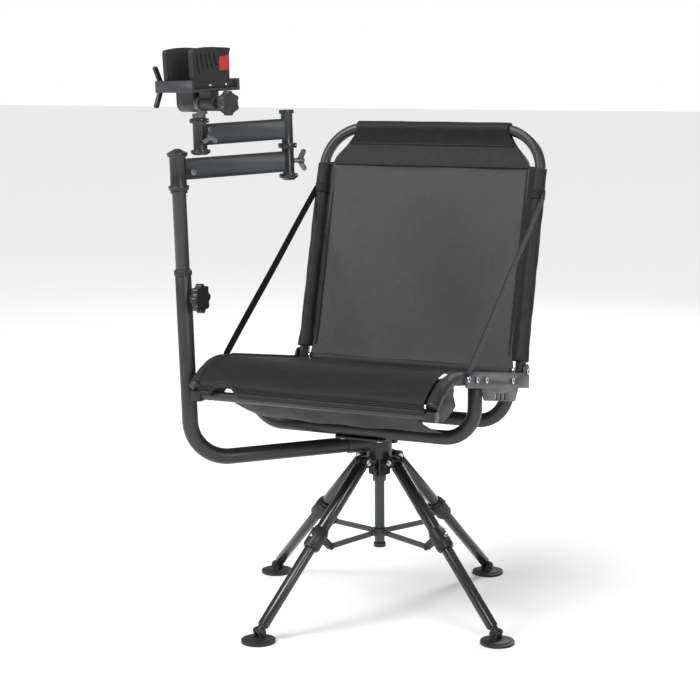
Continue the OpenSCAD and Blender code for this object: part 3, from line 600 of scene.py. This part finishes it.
seams = []
for sign in (1, -1):
    for inset in (0.0155, 0.0185):
        seams.append([
            centre + Vector((sign * (SEAT_HALF - inset), 0, 0)) + up * 0.0142 for centre, up in sleeve_rows
        ])
seams.append([edge + Vector((0, -0.0022, 0.008)) for edge in rows[-1]])
seams.append([edge + Vector((0, -0.0018, 0.0115)) for edge in rows[-1]])
stitches("seat_stitching", seams, "seat")

# Apron from the front rail to the front hoop, a little slack, and side gussets under the waterfall
apron = []
for r in range(15):
    t = r / 14
    row = []
    for c in range(41):
        u = -1 + 2 * c / 40
        half = 0.215 - 0.012 * t
        front = Vector((0, NOSE_Y + 0.012, NOSE_Z - 0.020))
        back = Vector((0, -0.1125, 0.4325))
        droop = -0.016 * math.sin(math.pi * t) * (1 - 0.5 * u * u)
        droop += 0.0022 * math.sin(11 * u + 3 * t) * math.sin(math.pi * t)
        row.append(front.lerp(back, t) + Vector((half * u, 0, droop)))
    apron.append(row)
seat_apron = cloth_grid("seat_apron", apron, apron_cloth, 0.0018)

GUSSET_R = WATERFALL_R - 0.013
gussets = []
for side, sign in (("left", 1), ("right", -1)):
    gusset = []
    for r in range(17):
        a = math.radians(4 + 44 * r / 16) - SEAT_PITCH
        top = Vector((0, ARC_Y - GUSSET_R * math.sin(a), ARC_Z + GUSSET_R * math.cos(a)))
        t = r / 16
        low = Vector((0, top.y + 0.012 * (1 - t), NOSE_Z - 0.044 + 0.018 * (2 * t - 1) ** 2))
        row = []
        for c in range(9):
            w = c / 8
            bulge = 0.004 * math.sin(math.pi * w) * math.sin(math.pi * t) + 0.0016 * math.sin(9 * w + 8 * t)
            row.append(top.lerp(low, w) + Vector((sign * (SEAT_HALF - 0.004 + bulge), 0, 0)))
        gusset.append(row)
    gussets.append(cloth_grid(f"seat_gusset_{side}", gusset, sleeve_cloth, 0.0016))

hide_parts("seat_fabric")
for piece in (seat_panel, seat_hem, seat_apron, *sleeves, *gussets):
    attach(piece, "seat")

# ---------------------------------------------------------------------------------------------
# Back: a bent tube frame carrying an open polyester mesh. Black cloth sleeves wrap both side
# tubes, and a doubled band folds over the top tube between two cut-away corners.

finish_node("back_frame", satin_black)
PIVOT = Vector((0, 0.162, 0.524))
LEAN = math.radians(15)
BACK_UP = Vector((0, math.sin(LEAN), math.cos(LEAN)))
BACK_OUT = Vector((0, math.cos(LEAN), -math.sin(LEAN)))
BACK_H = 0.538


def on_back(x, depth, height):
    """A point of the back: sideways, rearwards from the tube's plane, and up along the back."""
    return PIVOT + Vector((x, 0, 0)) + BACK_OUT * depth + BACK_UP * height


def make_mesh_cloth():
    """Open knit: round holes in a grid of cords, drawn as cells darkened with painted shade between lighter
    cords.
    """
    material, tree, shader, place = new_material("back_mesh")
    cloth = group_node(tree, weave, Threads=420.0)
    wire(tree, place.outputs["UV"], cloth.inputs["Vector"])
    cords = remap(tree, cloth.outputs["Crown"], 0.35, 0.62, 0.0, 1.0)
    # the low cells of the knit are darkened in the colour: painted shade between the cords
    knit = mix_colour(tree, cords, (0.022, 0.022, 0.023), (0.085, 0.085, 0.088))
    cloudy = remap(tree, noise(tree, place.outputs["UV"], 5.0, 2.0), 0.35, 0.7, 0.0, 0.45)
    wire(tree, mix_colour(tree, cloudy, knit, (0.070, 0.070, 0.072)), shader.inputs["Base Color"])
    wire(tree, remap(tree, cloth.outputs["Slub"], 0.3, 0.7, 0.5, 0.7), shader.inputs["Roughness"])
    add_bump(tree, shader, cloth.outputs["Height"], 0.4, 0.0005)
    shader.inputs["Sheen Weight"].default_value = 0.06
    shader.inputs["Specular IOR Level"].default_value = 0.2
    return material


back_mesh = make_mesh_cloth()
MESH_HALF = 0.238
rows = []
for r in range(41):
    v = -0.002 + 0.508 * r / 40
    row = []
    for c in range(41):
        u = -1 + 2 * c / 40
        half = MESH_HALF + 0.006 + 0.0085 * max(0.0, 1 - r / 4)
        cut = 0.463
        if v > cut:
            half -= (v - cut) * 0.93
        slack = 0.009 * (1 - u * u) * math.sin(math.pi * min(1.0, r / 36)) ** 0.6
        wave = 0.0012 * math.sin(6 * u + 4 * r / 40)
        row.append(on_back(half * u, slack + wave - 0.001, v))
    rows.append(row)
mesh_panel = cloth_grid("back_mesh_panel", rows, back_mesh, 0.0016)

SLEEVE_EDGE = 0.2335
sleeves = []
seams = []
for side, sign in (("left", 1), ("right", -1)):
    sleeve = []
    for r in range(31):
        t = r / 30
        v = 0.020 + 0.432 * t
        ring = []
        flare = 0.003 * max(0.0, 1 - r / 2.5)
        for k in range(19):
            a = math.radians(222 - 264 * k / 18)
            radius = 0.0142 + flare + 0.0005 * math.sin(4 * a + r * 0.9) + 0.0004 * math.sin(1.7 * r)
            across = sign * (SEAT_HALF - radius * math.cos(math.pi - a))
            ring.append(on_back(across, -radius * math.sin(a), v))
        lean_in = 0.010 * max(0.0, t - 0.86) / 0.14
        flat_front = on_back(sign * (SLEEVE_EDGE + flare), -0.0026, v + lean_in)
        flat_back = on_back(sign * (SLEEVE_EDGE + flare), 0.0016, v + lean_in)
        if (ring[0] - flat_back).length < (ring[0] - flat_front).length:
            sleeve.append([flat_back, *ring, flat_front])
        else:
            sleeve.append([flat_front, *ring, flat_back])
    sleeves.append(cloth_grid(f"back_sleeve_{side}", sleeve, sleeve_cloth, 0.0014))
    for inset in (0.2365, 0.2395):
        seams.append([on_back(sign * inset, -0.0042, 0.030 + 0.41 * k / 40) for k in range(41)])


def band_over_top(name, material, around, front_low, back_low):
    """Doubled cloth folded over the top tube, with its ends cut back along the corner bends."""
    heights = [(0.0030, back_low), (0.0040, 0.5 * (back_low + 0.512))]
    for k in range(17):
        a = math.radians(-50 + 17.5 * k)
        heights.append((around * math.cos(a), BACK_H + around * math.sin(a)))
    heights += [(-0.0046, 0.505), (-0.0042, 0.5 * (front_low + 0.505)), (-0.0040, front_low)]
    band_rows = []
    for c in range(41):
        u = -1 + 2 * c / 40
        shaped = []
        for depth, height in heights:
            half = 0.188 + 0.76 * max(0.0, 0.526 - height)
            shaped.append(on_back(half * u, depth + 0.0006 * math.sin(9 * u + 40 * height), height))
        band_rows.append(shaped)
    return cloth_grid(name, band_rows, material, 0.0014)


band_cloth = cloth_material("band_cloth", (0.012, 0.012, 0.0125), (0.026, 0.026, 0.027), 900.0, 0.45, 0.6)
fold_cloth = cloth_material("fold_cloth", (0.006, 0.006, 0.0065), (0.014, 0.014, 0.015), 900.0, 0.45, 0.6)
top_band = band_over_top("back_top_band", band_cloth, 0.0136, 0.448, 0.470)
top_fold = band_over_top("back_top_fold", fold_cloth, 0.0158, 0.497, 0.500)
for vertex in top_fold.data.vertices:
    vertex.co -= BACK_OUT * (0.0016 if (vertex.co - PIVOT).dot(BACK_OUT) < 0 else -0.0008)
seams.append([on_back(0.196 * (-1 + k / 20), -0.0084, 0.5005) for k in range(41)])
seams.append([on_back(0.226 * (-1 + k / 20), -0.0056, 0.4520) for k in range(41)])
stitches("back_stitching", seams, "back")

hem = []
for c in range(41):
    u = -1 + 2 * c / 40
    ring = []
    for k in range(9):
        a = 2 * math.pi * k / 8
        ring.append(on_back(0.2505 * u, 0.0034 * math.cos(a), -0.004 + 0.0105 * math.sin(a)))
    hem.append(ring)
back_hem = cloth_grid("back_lower_hem", hem, sleeve_cloth, 0.0008, 0)
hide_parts("back_fabric")
for piece in (mesh_panel, top_band, top_fold, back_hem, *sleeves):
    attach(piece, "back")

# ---------------------------------------------------------------------------------------------
# Stay straps: flat black webbing, 22 mm wide, from each bracket to a loop round the back tube.
# On the real straps the loop is sewn with a box of stitches and the lower end is folded under a bolted tab;
# the stitches and the fold are not drawn.

webbing = cloth_material("webbing", (0.006, 0.006, 0.006), (0.017, 0.017, 0.017), 1500.0, 0.5, 0.66, 0.5, 0.1)
STRAP_LOW = Vector((0, -0.163, 0.5885))
STRAP_AT, STRAP_TAIL, WEBBING_W = 0.393, 0.026, 0.022
STRAP_X, LOOP_R = 0.2812, 0.0158
STRAP_HIGH = PIVOT + BACK_UP * STRAP_AT
straps = []
for side, sign in (("left", 1), ("right", -1)):
    run = STRAP_HIGH - STRAP_LOW
    along = run.normalized()
    wide = Vector((0, -along.z, along.y))
    strap = []
    for r in range(41):
        t = r / 40
        centre = STRAP_LOW - along * STRAP_TAIL * (1 - t) + run * t
        x = STRAP_X + 0.0005 * math.sin(3 * math.pi * t)
        turn = 0.10 * math.sin(math.pi * t)
        row = []
        for c in range(7):
            w = (-1 + 2 * c / 6) * WEBBING_W / 2
            out = Vector((sign * (x + w * math.sin(turn) * 0.4), 0, 0))
            row.append(centre + wide * (w * math.cos(turn)) + out)
        strap.append(row)
    piece = cloth_grid(f"strap_{side}", strap, webbing, 0.0018)
    keep_mesh(piece)
    straps.append(piece)
    loop = []
    for r in range(9):
        w = (-1 + 2 * r / 8) * WEBBING_W / 2
        ring = []
        for k in range(25):
            a = 2 * math.pi * k / 24
            ring.append(on_back(sign * (SEAT_HALF + LOOP_R * math.cos(a)), LOOP_R * math.sin(a), STRAP_AT + w))
        loop.append(ring)
    collar = cloth_grid(f"strap_loop_{side}", loop, webbing, 0.0016)
    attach(collar, "back")
for piece in straps:
    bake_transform(piece)
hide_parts("straps")

# ---------------------------------------------------------------------------------------------
# Support arm: a bent steel tube clamped under the seat, with a sliding post, a collar and a
# lobed clamp knob. Two flat cast links with raised rims join the post to the head.

arm_coat = coated("arm_coat", (0.020, 0.020, 0.021), (0.12, 0.12, 0.125), 0.36, 0.44, 900.0, 0.1)
post_coat = coated("post_coat", (0.030, 0.030, 0.032), (0.14, 0.14, 0.145), 0.34, 0.42, 1000.0, 0.1)
link_coat = coated(
    "link_coat", (0.050, 0.052, 0.056), (0.20, 0.21, 0.22), 0.36, 0.5, 1000.0, 0.25, metallic=0.1)
finish_node("arm_receiver", cast_black, 0.001)
finish_node("receiver_knob", moulded_black, 0.0008)
finish_node("arm_tube", arm_coat)
finish_node("post_collar", moulded_black, 0.0008)
finish_node("post_knob", moulded_black, 0.0012)
finish_node("upper_post", post_coat)
finish_node("lower_link", link_coat, 0.0008)
finish_node("upper_link", link_coat, 0.0008)
for name in ("hub_screw", "elbow_screw", "head_screw"):
    zinc = coated(name + "_zinc", (0.16, 0.165, 0.175), (0.5, 0.5, 0.5), 0.25, 0.4, metallic=0.9)
    finish_node(name, zinc, 0.0008)

ARM_Z, ARM_TURN, ARM_RISE = 0.375, math.radians(222.4), math.radians(1.5)
ARM = Matrix.Translation((0, 0, ARM_Z))
ARM = ARM @ Matrix.Rotation(ARM_TURN, 4, "Z") @ Matrix.Rotation(ARM_RISE, 4, "Y")
REACH, LINK_Z, UPPER_LINK_Z, LINK_H, LINK_T = 0.419, 0.595, 0.6645, 0.0435, 0.012
LOWER_SPAN, LOWER_TURN = 0.271, math.radians(198)
UPPER_SPAN, UPPER_TURN = 0.226, math.radians(22.5)
RIM_ZONE = 0.0235
ELBOW = Vector((REACH + LOWER_SPAN * math.cos(LOWER_TURN), LOWER_SPAN * math.sin(LOWER_TURN), 0))
HEAD = ELBOW + UPPER_SPAN * Vector((math.cos(UPPER_TURN), math.sin(UPPER_TURN), 0))
rim_coat = coated("rim_coat", (0.014, 0.014, 0.015), (0.12, 0.12, 0.12), 0.24, 0.36, coat=0.2)
from_arm = ARM.inverted()
for name in ("lower_link", "upper_link"):
    link = nodes[name].data
    link.materials.append(rim_coat)
    for polygon in link.polygons:
        place = from_arm @ polygon.center
        level = Vector((place.x, place.y, 0))
        off_axis = min((level - axis).length for axis in (Vector((REACH, 0, 0)), ELBOW, HEAD))
        polygon.material_index = 1 if off_axis < RIM_ZONE else 0


def link_rims(name, start, end, height, start_gap, end_gap, body):
    """Raised lips along the upper and lower edges of a flat link, on both faces."""
    along = (end - start).normalized()
    side = Vector((-along.y, along.x, 0))
    length = (end - start).length
    vertices, faces = [], []
    for base in (0.0002, LINK_H - 0.0042):
        lip = []
        for distance in (start_gap, length - end_gap):
            for across in (-LINK_T / 2 - 0.0014, LINK_T / 2 + 0.0014):
                for up in (base, base + 0.004):
                    rise = Vector((0, 0, height + up))
                    lip.append(ARM @ (start + along * distance + side * across + rise))
        first = len(vertices)
        vertices += lip
        faces += [tuple(first + k for k in face) for face in (
            (0, 1, 3, 2), (4, 6, 7, 5), (0, 4, 5, 1), (2, 3, 7, 6), (0, 2, 6, 4), (1, 5, 7, 3))]
    piece = link_mesh(name, vertices, faces, rim_coat, smooth=False)
    bevel = piece.modifiers.new("edge_radius", "BEVEL")
    bevel.width, bevel.segments = 0.0008, 2
    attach(piece, body)
    return piece


link_rims("lower_link_rims", Vector((REACH, 0, 0)), ELBOW, LINK_Z, 0.020, 0.014, "lower_link")
link_rims("upper_link_rims", ELBOW, HEAD, UPPER_LINK_Z, 0.014, 0.016, "upper_link")


def flange_ring(name, centre, height, radius, tube, body, material):
    """A rolled bead round a flange's cast edge, in the material it is given."""
    vertices, faces = [], []
    around, section = 40, 8
    middle = Vector((centre.x, centre.y, height))
    for i in range(around):
        a = 2 * math.pi * i / around
        out = Vector((math.cos(a), math.sin(a), 0))
        for k in range(section):
            b = 2 * math.pi * k / section
            rise = Vector((0, 0, tube * math.sin(b)))
            vertices.append(ARM @ (middle + out * (radius + tube * math.cos(b)) + rise))
    for i in range(around):
        for k in range(section):
            n, m = (i + 1) % around, (k + 1) % section
            faces.append((i * section + k, n * section + k, n * section + m, i * section + m))
    piece = link_mesh(name, vertices, faces, material)
    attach(piece, body)


post_axis = Vector((REACH, 0, 0))
flange_ring("hub_flange_low", post_axis, 0.5805, 0.0206, 0.0016, "lower_link", rim_coat)
flange_ring("hub_flange_high", post_axis, 0.6490, 0.0206, 0.0016, "lower_link", rim_coat)
flange_ring("elbow_flange_low", ELBOW, 0.5865, 0.0196, 0.0015, "lower_link", rim_coat)
flange_ring("elbow_flange_high", ELBOW, 0.6500, 0.0196, 0.0015, "upper_link", rim_coat)
flange_ring("head_flange_low", HEAD, 0.6520, 0.0196, 0.0015, "upper_link", rim_coat)
flange_ring("head_flange_high", HEAD, 0.7150, 0.0196, 0.0015, "upper_link", rim_coat)

# ---------------------------------------------------------------------------------------------
# Clamping head: a moulded cradle on a tilting lug, with two rubber-faced jaws and a cam lever.
# The jaws are glass-filled nylon with slanted grip ribs outside and a soft pad inside.

HEAD_FRAME = ARM @ Matrix.Translation((HEAD.x, HEAD.y, 0)) @ Matrix.Rotation(math.radians(123.2), 4, "Z")
JAW_FOOT, JAW_TOP, JAW_IN, JAW_T = 0.7818, 0.8628, 0.0315, 0.012
JAW_OUT, JAW_MID, JAW_FOOT_HALF = JAW_IN + JAW_T, JAW_FOOT + 0.045, 0.0605
cradle_grey = coated("cradle_grey", (0.030, 0.031, 0.033), (0.12, 0.12, 0.125), 0.38, 0.52, 500.0, 0.3)
knob_grey = coated("knob_grey", (0.024, 0.025, 0.027), (0.10, 0.10, 0.105), 0.4, 0.55, 500.0, 0.3)
jaw_shell = coated("jaw_shell", (0.013, 0.013, 0.0135), (0.06, 0.06, 0.06), 0.34, 0.48, 480.0, 0.35)
jaw_pad = coated("jaw_pad", (0.020, 0.020, 0.021), (0.05, 0.05, 0.05), 0.6, 0.75, 260.0, 0.4, wear=0.2)
badge_red = coated("badge_red", (0.55, 0.016, 0.016), (0.7, 0.12, 0.1), 0.35, 0.45, wear=0.2)
stem_alloy = coated("stem_alloy", (0.12, 0.122, 0.128), (0.5, 0.5, 0.5), 0.28, 0.4, metallic=0.6)
finish_node("head_stem", stem_alloy, 0.0008)
finish_node("tilt_knob", knob_grey, 0.0012)
finish_node("cradle", cradle_grey, 0.0012)
finish_node("cam_lever", moulded_black, 0.001)


def slab(name, outline, x_from, x_to, material, edge=0.0012):
    """An outline in the head's length and height, made a solid slab across the head."""
    count = len(outline)
    vertices = [HEAD_FRAME @ Vector((x, y, z)) for x in (x_from, x_to) for y, z in outline]
    faces = [tuple(range(count)), tuple(range(2 * count - 1, count - 1, -1))]
    faces += [(k, (k + 1) % count, count + (k + 1) % count, count + k) for k in range(count)]
    piece = link_mesh(name, vertices, faces, material, smooth=False)
    piece.data.polygons.foreach_set("use_smooth", [True] * len(piece.data.polygons))
    bevel = piece.modifiers.new("edge_radius", "BEVEL")
    bevel.width, bevel.segments = edge, 3
    bevel.limit_method = "ANGLE"
    bevel.angle_limit = math.radians(20)
    bevel.harden_normals = True
    return piece


def round_corner(corner, before, after, radius, steps=5):
    """Points of an outline that round one corner between its neighbours."""
    corner, before, after = Vector(corner), Vector(before), Vector(after)
    start = corner + (before - corner).normalized() * radius
    end = corner + (after - corner).normalized() * radius
    points = []
    for k in range(steps + 1):
        t = k / steps
        points.append(tuple((1 - t) ** 2 * start + 2 * t * (1 - t) * corner + t * t * end))
    return points


def drawn_in(outline, wide, tall):
    """An outline drawn in towards the middle of the jaw."""
    return [((y + 0.001) * wide - 0.001, JAW_MID + (z - JAW_MID) * tall) for y, z in outline]


jaw_corners = [
    (-0.053, JAW_FOOT + 0.008), (-0.0552, JAW_TOP - 0.002), (-0.01, JAW_TOP + 0.003),
    (0.036, JAW_TOP + 0.0005), (0.0565, JAW_TOP - 0.001), (0.0515, JAW_TOP - 0.013),
    (0.0505, JAW_FOOT + 0.008),
]
jaw_radii = (0.002, 0.008, 0.02, 0.012, 0.003, 0.004, 0.002)
jaw_outline = []
for k, corner in enumerate(jaw_corners):
    following = jaw_corners[(k + 1) % len(jaw_corners)]
    jaw_outline += round_corner(corner, jaw_corners[k - 1], following, jaw_radii[k])
foot_outline = [
    (-JAW_FOOT_HALF, JAW_FOOT), (JAW_FOOT_HALF, JAW_FOOT),
    (JAW_FOOT_HALF, JAW_FOOT + 0.012), (-JAW_FOOT_HALF, JAW_FOOT + 0.012),
]


def make_rivets():
    """A low round head at every point, for rivets that are set flush with a moulding."""
    inputs = [("Radius", "Float", 0.003), ("Material", "Material", None)]
    tree, group_in, group_out = geometry_tree("rivet_heads", inputs)
    to_points = tree.nodes.new("GeometryNodeMeshToPoints")
    ball = tree.nodes.new("GeometryNodeMeshUVSphere")
    ball.inputs["Segments"].default_value = 16
    ball.inputs["Rings"].default_value = 8
    place = tree.nodes.new("GeometryNodeInstanceOnPoints")
    wire(tree, group_in.outputs["Geometry"], to_points.inputs["Mesh"])
    wire(tree, group_in.outputs["Radius"], ball.inputs["Radius"])
    wire(tree, to_points.outputs["Points"], place.inputs["Points"])
    wire(tree, ball.outputs["Mesh"], place.inputs["Instance"])
    end_tree(tree, group_in, group_out, place.outputs["Instances"])
    return tree


rivet_heads = make_rivets()
for name, sign in (("jaw_near", 1), ("jaw_far", -1)):
    heads = [HEAD_FRAME @ Vector((sign * (JAW_OUT + 0.0038), y, JAW_FOOT + 0.006)) for y in (-0.012, 0.034)]
    rivets = run_tree(f"{name}_rivets", rivet_heads, heads, [], bright_steel, smooth=True, Radius=0.0032)
    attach(rivets, name)
for name, sign in (("jaw_near", 1), ("jaw_far", -1)):
    shell = slab(f"{name}_shell", jaw_outline, sign * JAW_IN, sign * JAW_OUT, jaw_shell)
    pad_outline = drawn_in(jaw_outline, 0.90, 0.84)
    pad = slab(f"{name}_pad", pad_outline, sign * 0.028, sign * (JAW_IN + 0.001), jaw_pad, 0.001)
    lip_outline = drawn_in(jaw_outline, 0.955, 0.93)
    lip_in, lip_out = sign * (JAW_IN - 0.0012), sign * (JAW_IN + 0.0005)
    frame_lip = slab(f"{name}_rim", lip_outline, lip_in, lip_out, cradle_grey, 0.0006)
    foot = slab(f"{name}_foot", foot_outline, sign * JAW_IN, sign * (JAW_OUT + 0.004), moulded_black)
    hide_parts(name)
    for piece in (shell, pad, frame_lip, foot):
        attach(piece, name)
    set_in = sign * (JAW_OUT - 0.0005)
    ribs = []
    for k in range(5):
        y = -0.043 + 0.0125 * k
        high, low = JAW_TOP - 0.012 + 0.001 * k, JAW_FOOT + 0.030 + 0.004 * k
        slant = [(y, high), (y + 0.0055, high), (y + 0.0115, low), (y + 0.006, low)]
        ribs.append(slab(f"{name}_rib_{k + 1}", slant, set_in, sign * (JAW_OUT + 0.0022), jaw_shell, 0.0008))
    patch = [
        (0.020, JAW_TOP - 0.046), (0.046, JAW_TOP - 0.045),
        (0.048, JAW_TOP - 0.016), (0.022, JAW_TOP - 0.018),
    ]
    badge = slab(f"{name}_badge", patch, set_in, sign * (JAW_OUT + 0.0012), badge_red, 0.0006)
    for piece in (*ribs, badge):
        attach(piece, name)

# ---------------------------------------------------------------------------------------------
# Studio: a pale floor under soft light from above and the left, and the camera in front.


def floor_material():
    material, _, shader, _ = new_material("studio_floor")
    shader.inputs["Base Color"].default_value = (0.93, 0.93, 0.93, 1.0)
    shader.inputs["Roughness"].default_value = 0.9
    shader.inputs["Specular IOR Level"].default_value = 0.1
    return material


FLOOR_HALF = 30
floor_corners = [
    (-FLOOR_HALF, -FLOOR_HALF, 0), (FLOOR_HALF, -FLOOR_HALF, 0),
    (FLOOR_HALF, FLOOR_HALF, 0), (-FLOOR_HALF, FLOOR_HALF, 0),
]
floor = link_mesh("studio_floor", floor_corners, [(0, 1, 2, 3)], floor_material())


def soft_light(name, place, target, size, power):
    lamp = bpy.data.lights.new(name, "AREA")
    lamp.shape, lamp.size, lamp.energy = "DISK", size, power
    light = bpy.data.objects.new(name, lamp)
    bpy.context.scene.collection.objects.link(light)
    light.location = place
    light.rotation_mode = "QUATERNION"
    light.rotation_quaternion = (Vector(target) - Vector(place)).to_track_quat("-Z", "Y")


sky = bpy.data.lights.new("sky", "SUN")
sky.energy, sky.angle = 2.1, math.radians(50)
overhead = bpy.data.objects.new("sky", sky)
bpy.context.scene.collection.objects.link(overhead)
overhead.rotation_euler = (math.radians(28), math.radians(-16), 0)
soft_light("key", (-2.2, -2.6, 3.0), (0, 0, 0.6), 1.3, 60)
soft_light("fill", (3.0, -2.4, 2.2), (0, 0, 0.6), 1.6, 45)
soft_light("rim", (0.5, 3.2, 2.8), (0, 0, 0.8), 1.6, 80)

world = bpy.data.worlds.new("studio_air")
world.use_nodes = True
world.node_tree.nodes["Background"].inputs["Color"].default_value = (1.0, 1.0, 1.0, 1.0)
path = world.node_tree.nodes.new("ShaderNodeLightPath")
seen = remap(world.node_tree, path.outputs["Is Camera Ray"], 0.0, 1.0, 0.34, 1.0)
wire(world.node_tree, seen, world.node_tree.nodes["Background"].inputs["Strength"])
bpy.context.scene.world = world
bpy.context.scene.view_settings.view_transform = "Standard"

CAMERA_D, AIM_SIDE, AIM_Z = 3.818, -0.06325, 0.57857
CAMERA_TURN, CAMERA_PITCH, CAMERA_ROLL = math.radians(25.716), math.radians(9.738), math.radians(-0.365)
right = Vector((math.cos(CAMERA_TURN), math.sin(CAMERA_TURN), 0))
level_ahead = Vector((-math.sin(CAMERA_TURN), math.cos(CAMERA_TURN), 0))
ahead = level_ahead * math.cos(CAMERA_PITCH) - Vector((0, 0, math.sin(CAMERA_PITCH)))
up = right.cross(ahead)
lens = bpy.data.cameras.new("camera")
lens.lens, lens.sensor_width = 90.17, 36.0
camera = bpy.data.objects.new("camera", lens)
bpy.context.scene.collection.objects.link(camera)
tilted_right = right * math.cos(CAMERA_ROLL) + up * math.sin(CAMERA_ROLL)
tilted_up = up * math.cos(CAMERA_ROLL) - right * math.sin(CAMERA_ROLL)
basis = Matrix((tilted_right, tilted_up, -ahead)).transposed()
aim = right * AIM_SIDE + Vector((0, 0, AIM_Z))
camera.matrix_world = Matrix.Translation(aim - ahead * CAMERA_D) @ basis.to_4x4()
bpy.context.scene.camera = camera
